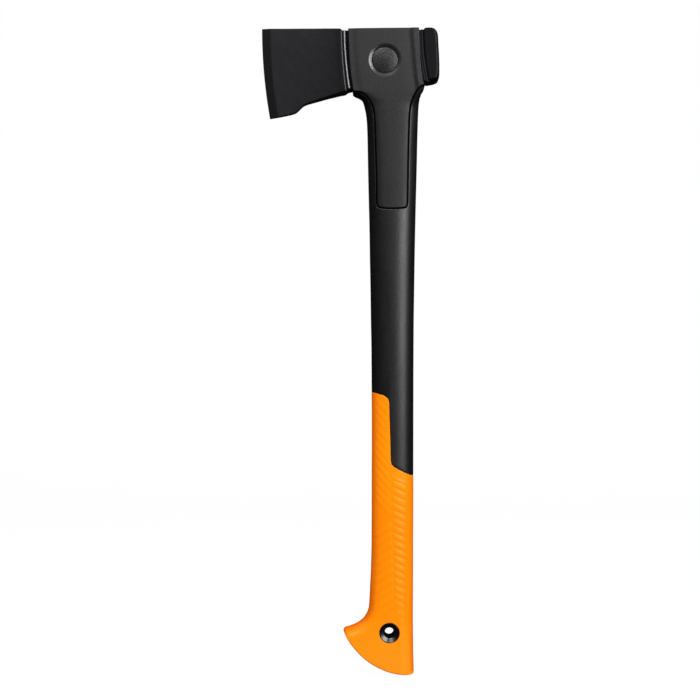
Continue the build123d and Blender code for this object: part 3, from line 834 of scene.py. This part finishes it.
# x, z of the top outline
HEAD_TOP = [
    (-118.65, 561.35), (-114.9, 561.42), (-100.0, 561.3), (-81.3, 561.0), (-70.0, 560.68),
    (-58.9, 560.3), (-50.0, 559.75), (-46.9, 559.52), (-45.7, 559.3), (-44.6, 558.7),
    (-43.95, 557.95), (-42.0, 557.8), (-41.1, 557.8), (-40.6, 558.1), (-37.0, 558.1),
    (-33.0, 557.2), (25.0, 557.2), (28.0, 558.7), (29.6, 558.95), (31.2, 558.98),
    (31.9, 559.15), (32.4, 559.8), (33.3, 560.4), (34.8, 560.7), (37.8, 560.75),
    (39.8, 560.5), (41.3, 559.95), (42.7, 558.9), (43.8, 557.5), (44.55, 556.0),
    (45.0, 554.4), (45.28, 551.5), (45.4, 547.8), (45.62, 543.6), (45.88, 539.8),
    (46.08, 536.2), (46.22, 532.0), (46.3, 528.0),
]
# x, z of the lower outline
HEAD_LOW = [
    (-111.5, 477.25), (-109.8, 477.5), (-101.5, 479.2), (-95.0, 480.55), (-90.6, 481.6),
    (-88.6, 482.2), (-86.4, 483.3), (-84.6, 484.9), (-82.6, 487.0), (-80.5, 489.05),
    (-78.2, 490.4), (-75.0, 491.6), (-71.7, 492.6), (-63.3, 495.2), (-55.0, 497.72),
    (-46.0, 500.3), (-42.6, 501.15), (-40.2, 501.8), (-39.3, 502.6), (-37.6, 503.6),
    (-33.0, 504.3), (26.0, 511.0), (30.0, 512.2), (32.2, 511.6), (33.4, 510.5),
    (34.6, 510.2), (36.6, 510.1), (39.0, 510.3), (41.2, 510.75), (43.2, 511.5),
    (44.9, 512.3), (45.9, 513.9), (46.3, 515.9), (46.42, 518.4), (46.45, 521.0),
]
# column, half thickness
THICKNESS = [
    (-118.65, 0.0), (-118.45, 0.22), (-117.95, 0.46), (-111.0, 2.72), (-110.2, 2.92),
    (-105.0, 3.35), (-92.5, 4.5), (-83.0, 5.75), (-73.8, 7.2), (-64.5, 8.95), (-55.2, 11.4),
    (-50.0, 13.05), (-46.4, 14.6), (-45.1, 15.12), (-44.85, 15.15), (-44.7, 15.1),
    (-44.1, 14.82), (-43.98, 14.3), (-43.8, 14.0), (-42.7, 13.95), (-42.3, 14.05),
    (-42.15, 14.12), (-42.0, 14.08), (-41.05, 13.6), (-40.9, 13.1), (-40.75, 12.5),
    (-40.6, 12.2), (-20.0, 12.2), (10.0, 12.1), (28.3, 12.1), (28.9, 12.2), (29.4, 12.75),
    (29.8, 12.9), (30.5, 12.85), (30.8, 12.3), (30.95, 11.5), (31.65, 11.5), (31.85, 12.4),
    (32.2, 12.9), (32.9, 13.05), (39.0, 13.1), (46.3, 13.1),
]
# columns of the mesh, close together at the edge, shoulders, grooves and poll face
COLUMNS = np.unique(np.round(np.r_[
    -118.65, -118.55, -118.45, -118.25, -117.95, np.arange(-117.4, -111.4, 0.7),
    -111.2, -111.0, -110.8, -110.5, -110.1, -109.6,
    np.arange(-109.0, -92.0, 1.0), np.arange(-92.0, -72.0, 0.55), np.arange(-72.0, -48.0, 1.0),
    np.arange(-48.0, -45.2, 0.35), np.arange(-45.1, -40.0, 0.11),
    -39.9, -39.4, -38.8, -38.0, -36.5, np.arange(-34.0, 26.0, 4.0), 26.0, 27.0,
    np.arange(27.8, 33.6, 0.14), 34.4, 35.0, 35.8, 37.0, 38.2, 39.4, 40.4, 41.3, 42.1, 42.8,
    43.4, 43.9, 44.3, 44.6, 44.85, 45.05, np.arange(45.14, 46.26, 0.07), 46.3,
], 4))
COLUMN_POINTS = 74
EDGE_STEPS = np.array([0.0, 0.06, 0.16, 0.3, 0.5, 0.75, 1.05, 1.45])  # in from top and bottom
STRIP_ROWS = 9  # rows of faces across the thickness


def linear(table):
    known, values = np.array(table).T
    return lambda at: np.interp(at, known, values)


def lean(z):
    return ((LEAN_TOP - z) / LEAN_SPAN) ** 2


def head_grid():
    """x, z and half thickness, one row of the arrays for each column of the head."""
    thick, top, low = linear(THICKNESS), linear(HEAD_TOP), linear(HEAD_LOW)
    # smooth cheeks: monotone cubic over the long stretches only
    cheek = pchip([row for row in THICKNESS if -111.1 < row[0] < -45.0])
    shape = (len(COLUMNS), COLUMN_POINTS)
    x, z, half_y = np.zeros(shape), np.zeros(shape), np.zeros(shape)
    for i, column in enumerate(COLUMNS):
        sweep = SWEEP(column)
        # where the swept column meets the lower outline
        bottom = 500.0
        for _ in range(30):
            bottom = 0.5 * bottom + 0.5 * low(column + sweep * lean(bottom))
        height = top(column + sweep * lean(top(column))) - bottom
        inner = np.linspace(2.2, height - 2.2, COLUMN_POINTS - 2 * len(EDGE_STEPS))
        z[i] = bottom + np.r_[EDGE_STEPS, inner, height - EDGE_STEPS[::-1]]
        x[i] = column + sweep * lean(z[i])
        half_y[i] = cheek(column) if -111.0 <= column <= -45.1 else thick(column)
    return x, z, half_y


def head_side():
    """x, z, half thickness with rolled edges, and masks of painted shade on the poll's rounded
    edge and of a painted highlight line inside it.
    """
    x, z, half_y = head_grid()
    # forged unevenness of the cheeks, below a tenth of a millimetre
    wave = 0.05 * np.sin(x * 0.21 + z * 0.13) * np.sin(z * 0.17 - x * 0.05)
    wave = wave + 0.03 * np.sin(x * 0.55 + 1.3) * np.cos(z * 0.41)
    cheeks = smooth(-109, -100, COLUMNS) * (1 - smooth(-50, -46, COLUMNS))
    half_y = half_y + wave * cheeks[:, None]
    # rolled edges along the bottom, poll face and top
    outline = [(x[:, 0], z[:, 0]), (x[-1, 1:], z[-1, 1:]), (x[::-1, -1][1:], z[::-1, -1][1:])]
    rim = np.vstack([np.c_[part] for part in outline])
    rim = rim[np.r_[True, np.hypot(*np.diff(rim, axis=0).T) > 1e-4]]
    dist = distance(rim, np.c_[x.ravel(), z.ravel()]).reshape(x.shape)
    radius = np.interp(COLUMNS, [-118, -112, -100, -50, 30], [0.12, 0.5, 0.9, 1.0, 1.0])[:, None]
    # the rounding is wider round the poll's side face and widest underneath it
    at_poll = smooth(31.2, 32.4, COLUMNS)[:, None]
    wide = 1.75 + 2.1 * (1 - smooth(511.5, 519.5, z)) - 0.5 * smooth(554.0, 558.0, z)
    radius = np.minimum(radius + at_poll * (wide * 1.12 - radius), half_y * 0.7)
    y = half_y - edge_roll(dist, radius)
    # painted shade over the poll's rounded edge
    roll = at_poll * (1 - smooth(wide - 0.3, wide + 0.1, dist))
    # painted highlight: a narrow pale line just inside the rounding, at the back of the poll
    painted_highlight_line = at_poll * smooth(wide - 0.15, wide + 0.15, dist)
    painted_highlight_line = painted_highlight_line * (1 - smooth(wide + 0.6, wide + 1.1, dist))
    painted_highlight_line = painted_highlight_line * smooth(40.0, 42.5, COLUMNS)[:, None]
    return x.ravel(), y.ravel(), z.ravel(), roll.ravel(), painted_highlight_line.ravel()


def head_masks(verts):
    """Looks of the head by place: bare steel, and painted shade in the grooves, on the edge bevel
    and over the poll.
    """
    t = lean(verts[:, 2])
    column = verts[:, 0]
    for _ in range(6):
        column = verts[:, 0] - SWEEP(column) * t
    depth = np.abs(verts[:, 1])

    def band(on_start, on_end, off_start, off_end):
        return smooth(on_start, on_end, column) * (1 - smooth(off_start, off_end, column))

    # bare on the two shoulder edges and along the honed edge
    bare = band(-44.85, -44.7, -44.15, -44.0) * smooth(13.3, 14.2, depth) * 0.40
    bare = np.maximum(bare, band(-42.2, -42.05, -41.05, -40.9) * smooth(12.4, 13.2, depth))
    bare = np.maximum(bare, 0.5 * (1 - smooth(-118.6, -118.15, column)))
    # painted shade: darker in the grooves and over the neck under the collar
    painted_groove_shade = band(-44.0, -43.8, -42.5, -42.2)
    painted_groove_shade = np.maximum(painted_groove_shade, band(-41.0, -40.8, 27.4, 28.0))
    painted_groove_shade = np.maximum(painted_groove_shade, band(30.8, 30.95, 31.7, 32.0))
    # painted shade over the ground bevel of the cutting edge
    painted_bevel_shade = 1 - smooth(-111.4, -110.6, column)
    return {"bare": bare, "painted_groove_shade": painted_groove_shade, "painted_bevel_shade": painted_bevel_shade, "poll": smooth(31.4, 32.0, column)}


def build_head():
    x, y, z, roll, painted_highlight_line = head_side()
    count = len(x)
    index = np.arange(count).reshape(len(COLUMNS), COLUMN_POINTS)
    sides = [np.c_[x, -y, z], np.c_[x, y, z]]
    faces = []
    for i in range(len(COLUMNS) - 1):
        for j in range(COLUMN_POINTS - 1):
            quad = [index[i, j], index[i + 1, j], index[i + 1, j + 1], index[i, j + 1]]
            faces.append(quad)
            faces.append([quad[k] + count for k in (0, 3, 2, 1)])
    # strips across the thickness: underside, top, poll face and cutting edge
    strips = []
    base = 2 * count
    for line in (index[:, 0], index[:, -1], index[-1], index[0]):
        rows = [line]
        for k in range(1, STRIP_ROWS):
            t = k / STRIP_ROWS
            strips.append(sides[0][line] * (1 - t) + sides[1][line] * t)
            rows.append(np.arange(base, base + len(line)))
            base += len(line)
        rows.append(line + count)
        for low, high in zip(rows[:-1], rows[1:]):
            for i in range(len(line) - 1):
                faces.append((low[i], high[i], high[i + 1], low[i + 1]))
    verts = np.vstack(sides + strips)
    attrs = head_masks(verts)
    for key, mask in (("roll", roll), ("painted_highlight_line", painted_highlight_line)):
        attrs[key] = np.r_[mask, mask, np.zeros(len(verts) - 2 * count)]
    to_object(
        "axe_head_forging", verts, faces, "axe_head", "coated_steel", smooth_angle=38, attrs=attrs
    )


# ---------------------------------------------------------------- buttons and bush
def build_button(name, node, side):
    face_radius, face_y, dome = 11.2, 16.93, 0.78
    rim_width, rim_height, rim_y = 0.75, 0.79, 15.36
    outer, bottom_y = face_radius + rim_width, 13.05
    profile = [(0.0, face_y)]
    profile += [
        (r, face_y - dome * (r / face_radius) ** 2) for r in np.arange(0.4, face_radius, 0.4)
    ]
    profile += [
        (face_radius + rim_width * math.sin(a), rim_y + rim_height * math.cos(a))
        for a in np.linspace(0, math.pi / 2, 9)[1:]
    ]
    profile += [(outer, 14.9), (outer, 14.0), (outer, bottom_y), (0.0, bottom_y)]
    verts, faces = revolve(profile, LOCK, side, 160)
    # shallow hammered mottling of the face
    x, y, z = verts.T
    radius = from_lock(x, z)
    on_face = (np.abs(y) > 15.9) & (radius < 11.1)
    mottle = np.sin(x * 1.7 + 0.6 * np.sin(z * 1.1)) * np.sin(z * 1.9 + 0.8 * np.sin(x * 0.9))
    mottle = mottle + 0.6 * np.sin(x * 3.1 + z * 2.3) * np.sin(z * 3.7 - x * 1.3)
    mottle = 0.042 * mottle * (1 - smooth(9.8, 11.0, radius))
    verts[:, 1] += side * np.where(on_face, mottle, 0.0)
    to_object(name, verts, faces, node, "grey_button", smooth_angle=36)


def build_bush():
    """Eyelet of the hang hole, the same at both ends."""
    quarter = np.linspace(0, math.pi / 2, 7)
    lip = 0.35
    # (radius, y) from the middle of the outer wall, over the lip, down the cone and throat
    profile = [(9.45, 0.0), (9.45, 8.0), (9.45, 14.0)]
    profile += [(9.1 + lip * math.cos(a), 14.3 + lip * math.sin(a)) for a in quarter]
    profile += [(9.0, 14.62), (8.85, 14.5)]
    profile += [
        (8.75 + (5.35 - 8.75) * t, 14.3 + (12.68 - 14.3) * t) for t in np.linspace(0, 1, 16)
    ]
    profile += [
        (4.95 + 0.36 * (1 - math.sin(a)), 12.62 - 0.5 * (1 - math.cos(a))) for a in quarter[1:]
    ]
    profile += [(4.76, 11.0), (4.4, 9.3), (4.22, 8.2), (4.15, 7.4), (4.15, 4.0), (4.15, 0.0)]
    profile += [(radius, -y) for radius, y in profile[-2::-1]]
    profile.append(profile[0])
    verts, faces = revolve(profile, (0.0, 0.0), -1, 144)
    to_object(
        "hang_hole_eyelet", verts, faces, "hang_hole_bush", "black_bush", smooth_angle=40
    )


# ---------------------------------------------------------------- materials
class Shader:
    """A principled material and short ways to add nodes to it."""

    def __init__(self, name):
        self.material = bpy.data.materials.new(name)
        self.material.use_nodes = True
        self.tree = self.material.node_tree
        self.tree.nodes.clear()
        output = self.node("OutputMaterial")
        self.bsdf = self.node("BsdfPrincipled")
        self.feed(output.inputs[0], self.bsdf.outputs[0])

    def node(self, kind):
        return self.tree.nodes.new("ShaderNode" + kind)

    def feed(self, socket, value):
        """Link a socket, or set its colour or number."""
        if isinstance(value, bpy.types.NodeSocket):
            self.tree.links.new(value, socket)
        else:
            socket.default_value = (*value, 1.0) if isinstance(value, tuple) else value

    def set(self, values):
        for key, value in values.items():
            self.feed(self.bsdf.inputs[key], value)

    def remap(self, value, span, to=(0, 1)):
        node = self.node("MapRange")
        limits = zip(("From Min", "From Max", "To Min", "To Max"), (*span, *to))
        for key, limit in limits:
            node.inputs[key].default_value = limit
        self.feed(node.inputs["Value"], value)
        return node.outputs[0]

    def noise(self, scale, detail, rough=0.55, stretch=(1, 1, 1), span=None, to=(0, 1)):
        """Noise in object space, remapped from span where one is given."""
        coord, mapping = self.node("TexCoord"), self.node("Mapping")
        mapping.inputs["Scale"].default_value = stretch
        self.feed(mapping.inputs[0], coord.outputs["Object"])
        node = self.node("TexNoise")
        node.inputs["Scale"].default_value = scale
        node.inputs["Detail"].default_value = detail
        node.inputs["Roughness"].default_value = rough
        self.feed(node.inputs["Vector"], mapping.outputs[0])
        factor = node.outputs["Fac"]
        return self.remap(factor, span, to) if span else factor

    def mix(self, factor, first, second, data_type="RGBA"):
        node = self.node("Mix")
        node.data_type = data_type
        start = 6 if data_type == "RGBA" else 2
        for i, value in ((0, factor), (start, first), (start + 1, second)):
            self.feed(node.inputs[i], value)
        return node.outputs[2 if data_type == "RGBA" else 0]

    def mix_value(self, factor, first, second):
        return self.mix(factor, first, second, "FLOAT")

    def math(self, operation, first, second, clamp=False):
        node = self.node("Math")
        node.operation = operation
        node.use_clamp = clamp
        self.feed(node.inputs[0], first)
        self.feed(node.inputs[1], second)
        return node.outputs[0]

    def bump(self, height, distance, normal=None):
        """Bump node; distance is in metres."""
        node = self.node("Bump")
        node.inputs["Distance"].default_value = distance
        self.feed(node.inputs["Height"], height)
        if normal is not None:
            self.feed(node.inputs["Normal"], normal)
        return node.outputs[0]

    def attribute(self, name):
        node = self.node("Attribute")
        node.attribute_name = name
        return node.outputs["Fac"]

    def pointiness(self, span, to=(0.0, 1.0)):
        return self.remap(self.node("NewGeometry").outputs["Pointiness"], span, to)


def plastic(name, dark, light, rough, grain_scale, grain_depth, rough_var=0.06, wear=0.0,
            spec=0.5, metallic=0.0, painted_shade=False, cone=False):
    """Moulded grain; wear pales the edges; the mask of painted shade darkens the joint, and cone
    uses its mesh mask.
    """
    shader = Shader(name + "_looks")
    tone = shader.noise(scale=22, detail=3, rough=0.5, span=(0.35, 0.65))
    color = shader.mix(tone, dark, light)
    # fine pale flecks of the moulded grain
    fleck = shader.noise(scale=820, detail=2, rough=0.6, span=(0.50, 0.72), to=(0, 0.5))
    color = shader.mix(fleck, color, tuple(c * 2.4 + 0.0008 for c in light))
    if wear:
        edges = shader.pointiness(span=(0.505, 0.56))
        patches = shader.noise(scale=160, detail=4, rough=0.6, span=(0.4, 0.65), to=(0, wear))
        worn = shader.math("MULTIPLY", edges, patches)
        color = shader.mix(worn, color, tuple(min(1, c * 3 + 0.02) for c in light))
    roughness = shader.noise(
        scale=90, detail=5, rough=0.65, stretch=(1, 1, 0.25),
        span=(0.3, 0.7), to=(rough - rough_var, rough + rough_var),
    )
    shine = shader.noise(
        scale=640, detail=2, rough=0.6, span=(0.3, 0.7), to=(spec * 0.88, spec * 1.12)
    )
    if cone:
        # the turned conical seat round the button is smoother than the moulded face
        mask = shader.attribute("cone")
        roughness = shader.mix_value(mask, roughness, 0.29)
        glint = shader.noise(scale=900, detail=2, rough=0.6, span=(0.38, 0.62), to=(0.6, 1.0))
        shine = shader.mix_value(mask, shine, glint)
    if painted_shade:
        # painted shade: near-black and without shine down in the joint and under the collar's
        # flare
        mask = shader.attribute("painted_shade")
        color = shader.mix(mask, color, (0.0012, 0.0012, 0.0012))
        shine = shader.mix_value(mask, shine, 0.03)
        roughness = shader.mix_value(mask, roughness, 0.9)
    fine = shader.noise(scale=grain_scale, detail=2, rough=0.5)
    coarse = shader.noise(scale=grain_scale * 0.32, detail=3, rough=0.5)
    normal = shader.bump(coarse, grain_depth * 0.8, shader.bump(fine, grain_depth))
    shader.set({
        "Base Color": color, "Roughness": roughness, "Specular IOR Level": shine,
        "Metallic": metallic, "Normal": normal,
    })
    return shader.material


def steel_coated():
    """Dark coating, rubbed through to bare steel in places."""
    shader = Shader("coated_steel_looks")
    blotch = shader.noise(scale=35, detail=5, rough=0.6)
    speck = shader.noise(scale=900, detail=3, rough=0.6)
    blotch = shader.remap(blotch, span=(0.3, 0.7))
    coat = shader.mix(blotch, (0.0077, 0.0077, 0.0090), (0.0103, 0.0103, 0.0119))
    speck = shader.remap(speck, span=(0.60, 0.72), to=(0, 0.3))
    coat = shader.mix(speck, coat, (0.03, 0.03, 0.033))
    # mesh mask, strength, colour; painted shade darkens the poll, its rounded edge, the bevel and
    # the grooves, and a painted highlight pales a line at the back of the poll
    for name, strength, color in (
        ("poll", 0.55, (0.0045, 0.0045, 0.0052)),
        ("roll", 0.9, (0.0018, 0.0018, 0.002)),
        ("painted_highlight_line", None, (0.032, 0.032, 0.034)),
        ("painted_bevel_shade", 0.8, (0.0045, 0.0045, 0.005)),
        ("painted_groove_shade", 0.8, (0.004, 0.004, 0.004)),
    ):
        mask = shader.attribute(name)
        if strength:
            mask = shader.math("MULTIPLY", mask, strength)
        coat = shader.mix(mask, coat, color)
    chips = shader.noise(scale=420, detail=5, rough=0.7, span=(0.26, 0.40))
    bare = shader.attribute("bare")
    bare = shader.math("MULTIPLY", bare, shader.mix_value(0.22, 1.0, chips), clamp=True)
    edges = shader.pointiness(span=(0.52, 0.60))
    patches = shader.noise(scale=260, detail=5, rough=0.65, span=(0.52, 0.66), to=(0, 0.55))
    rubbed = shader.math("MULTIPLY", edges, patches, clamp=True)
    bare = shader.math("MAXIMUM", shader.remap(bare, span=(0.2, 0.8)), rubbed)
    streaks = shader.noise(scale=700, detail=3, rough=0.5, stretch=(6, 6, 0.6), span=(0.3, 0.7))
    steel = shader.mix(streaks, (0.13, 0.13, 0.134), (0.21, 0.21, 0.215))
    color = shader.mix(bare, coat, steel)
    metallic = shader.mix_value(bare, 0.0, 0.55)
    coat_rough = shader.noise(scale=60, detail=5, rough=0.6, span=(0.3, 0.7), to=(0.40, 0.48))
    steel_rough = shader.remap(chips, span=(0, 1), to=(0.48, 0.40))
    roughness = shader.mix_value(bare, coat_rough, steel_rough)
    shine = shader.mix_value(shader.attribute("poll"), 0.18, 0.045)
    shine = shader.mix_value(shader.attribute("painted_groove_shade"), shine, 0.03)
    normal = shader.bump(shader.noise(scale=1500, detail=2, rough=0.5), 0.00006)
    normal = shader.bump(shader.noise(scale=260, detail=4, rough=0.55), 0.00010, normal)
    shader.set({
        "Base Color": color, "Metallic": metallic, "Roughness": roughness,
        "Specular IOR Level": shine, "Normal": normal,
    })
    return shader.material


def orange_soft():
    shader = Shader("orange_grip_looks")
    tone = shader.noise(scale=14, detail=3, rough=0.5, span=(0.35, 0.65))
    color = shader.mix(tone, (0.87, 0.225, 0.0), (0.91, 0.252, 0.0))
    # painted shade: a little darker in the valleys of the ribs
    valley = shader.pointiness(span=(0.44, 0.50), to=(0.22, 0.0))
    color = shader.mix(valley, color, (0.80, 0.17, 0.002))
    # painted sheen: paler towards the bottom, on the bare butt end below the ribbed hand
    place = shader.node("SeparateXYZ")
    shader.feed(place.inputs[0], shader.node("TexCoord").outputs["Object"])
    butt = shader.remap(place.outputs[2], span=(-0.022, 0.014), to=(1.0, 0.0))
    color = shader.mix(butt, color, (0.93, 0.278, 0.008))
    # painted shade: redder and darker where the skin turns away
    weight = shader.node("LayerWeight")
    weight.inputs["Blend"].default_value = 0.5
    away = shader.remap(weight.outputs["Facing"], span=(0.32, 1.0), to=(0, 0.95))
    color = shader.mix(away, color, (0.80, 0.100, 0.0))
    roughness = shader.noise(scale=70, detail=5, rough=0.6, span=(0.3, 0.7), to=(0.33, 0.42))
    normal = shader.bump(shader.noise(scale=1800, detail=2, rough=0.5), 0.00005)
    normal = shader.bump(shader.noise(scale=420, detail=3, rough=0.5), 0.00006, normal)
    shader.set({
        "Base Color": color, "Roughness": roughness, "Specular IOR Level": 0.42,
        "Specular Tint": (1.0, 0.72, 0.34), "Normal": normal,
        # painted light: a little red-orange glow of its own, which shows most in the shade
        "Emission Color": (1.0, 0.145, 0.0), "Emission Strength": 0.26,
    })
    return shader.material


MATERIALS = {
    "coated_steel": steel_coated(),
    "black_composite": plastic(
        "black_composite", dark=(0.0030, 0.0030, 0.0034), light=(0.0046, 0.0046, 0.0051),
        rough=0.39, grain_scale=1400, grain_depth=0.00006, rough_var=0.04, wear=0.2, painted_shade=True,
    ),
    "grey_panel": plastic(
        "grey_panel", dark=(0.0036, 0.0036, 0.0039), light=(0.0053, 0.0053, 0.0057),
        rough=0.50, grain_scale=1700, grain_depth=0.00008, rough_var=0.04, wear=0.058,
        spec=0.38, painted_shade=True, cone=True,
    ),
    "grey_button": plastic(
        "grey_button", dark=(0.008, 0.008, 0.0085), light=(0.013, 0.013, 0.0138),
        rough=0.33, grain_scale=1100, grain_depth=0.00010, rough_var=0.05, wear=0.25, spec=0.43,
    ),
    "black_bush": plastic(
        "black_bush", dark=(0.0012, 0.0012, 0.0013), light=(0.0022, 0.0022, 0.0024),
        rough=0.29, grain_scale=900, grain_depth=0.00004, rough_var=0.04, wear=0.2, spec=0.75,
    ),
    "orange_grip": orange_soft(),
}
pin_steel = plastic(
    "pin_steel", dark=(0.5, 0.5, 0.51), light=(0.6, 0.6, 0.61),
    rough=0.3, grain_scale=700, grain_depth=0.00003, metallic=1.0,
)

# ---------------------------------------------------------------- build
SIDES = (("left", -1), ("right", 1))
build_core()
build_grip()
build_head()
for side_name, side in SIDES:
    build_panel(f"side_cover_{side_name}", f"side_panel_{side_name}", side)
for side_name, side in SIDES:
    build_button(f"button_{side_name}", f"lock_button_{side_name}", side)
build_bush()
for material_slot in frame["nodes"]["head_lock_pin"].material_slots:
    material_slot.material = pin_steel

# ---------------------------------------------------------------- stage
scene = bpy.context.scene
scene.view_settings.view_transform = "Standard"
scene.view_settings.look = "None"


def backdrop():
    """Pale floor that sweeps up into a wall behind the tool."""
    floor_z, bend_y, bend_radius, half_width = -0.0422, 1.6, 0.8, 12.0
    profile = [(-9.0, floor_z), (bend_y, floor_z)]
    profile += [
        (bend_y + bend_radius * math.sin(a), floor_z + bend_radius * (1 - math.cos(a)))
        for a in np.linspace(0, math.pi / 2, 24)[1:]
    ]
    profile += [(2.4, 9.0)]
    count = len(profile)
    verts = [(x, y, z) for x in (-half_width, half_width) for y, z in profile]
    faces = [(i, i + 1, count + i + 1, count + i) for i in range(count - 1)]
    mesh = bpy.data.meshes.new("backdrop")
    mesh.from_pydata(verts, [], faces)
    for face in mesh.polygons:
        face.use_smooth = True
    ob = bpy.data.objects.new("backdrop", mesh)
    scene.collection.objects.link(ob)
    shader = Shader("pale_backdrop")
    tone = shader.noise(scale=6, detail=2, span=(0.3, 0.7))
    shader.set({
        "Base Color": shader.mix(tone, (0.075, 0.075, 0.075), (0.085, 0.085, 0.085)),
        "Roughness": 0.9, "Specular IOR Level": 0.1,
        "Emission Color": (1.0, 1.0, 1.0), "Emission Strength": 0.965,
    })
    mesh.materials.append(shader.material)
    # seen by the camera only, it throws no light or reflection on the tool
    ob.visible_glossy = False
    ob.visible_diffuse = False


def area(name, place, aim, size, power):
    """Rectangular light; places in metres, power in watts."""
    light = bpy.data.lights.new(name, "AREA")
    light.shape = "RECTANGLE"
    light.size, light.size_y = size
    light.energy = power
    ob = bpy.data.objects.new(name, light)
    ob.location = place
    ob.rotation_euler = (Vector(aim) - Vector(place)).to_track_quat("-Z", "Y").to_euler()
    scene.collection.objects.link(ob)
    return ob


def world():
    """Dim surround, dimmer still in reflections."""
    studio = bpy.data.worlds.new("studio")
    scene.world = studio
    studio.use_nodes = True
    nodes, links = studio.node_tree.nodes, studio.node_tree.links
    nodes.clear()
    output = nodes.new("ShaderNodeOutputWorld")
    background = nodes.new("ShaderNodeBackground")
    ray = nodes.new("ShaderNodeLightPath")
    tint = nodes.new("ShaderNodeMix")
    tint.data_type = "RGBA"
    links.new(ray.outputs["Is Glossy Ray"], tint.inputs[0])
    tint.inputs[6].default_value = (0.095, 0.095, 0.097, 1)
    tint.inputs[7].default_value = (0.011, 0.011, 0.0115, 1)
    links.new(tint.outputs[2], background.inputs[0])
    background.inputs[1].default_value = 1.0
    links.new(background.outputs[0], output.inputs[0])


def camera():
    """Level view along +y."""
    data = bpy.data.cameras.new("camera")
    data.lens = 85.0
    data.sensor_width = 36.0
    data.clip_end = 20
    ob = bpy.data.objects.new("camera", data)
    ob.location = (-0.0365, -1.543, 0.2619)
    ob.rotation_euler = (math.pi / 2, 0, 0)
    scene.collection.objects.link(ob)
    scene.camera = ob


backdrop()
area("key_right", place=(0.96, -1.40, 0.84), aim=(0, 0, 0.30), size=(0.82, 1.25), power=31)
area("front_high", place=(-0.45, -1.42, 1.75), aim=(0, 0, 0.30), size=(1.1, 1.0), power=26)
area("top_right", place=(1.35, 0.42, 1.35), aim=(0, 0, 0.2), size=(0.7, 0.7), power=3)
area("top_left", place=(-1.35, 0.42, 1.35), aim=(0, 0, 0.2), size=(0.7, 0.7), power=2)
fill = area("fill_left", place=(-1.6, -1.0, 0.5), aim=(0, 0, 0.27), size=(0.9, 1.4), power=3.2)
fill.visible_glossy = False
world()
camera()
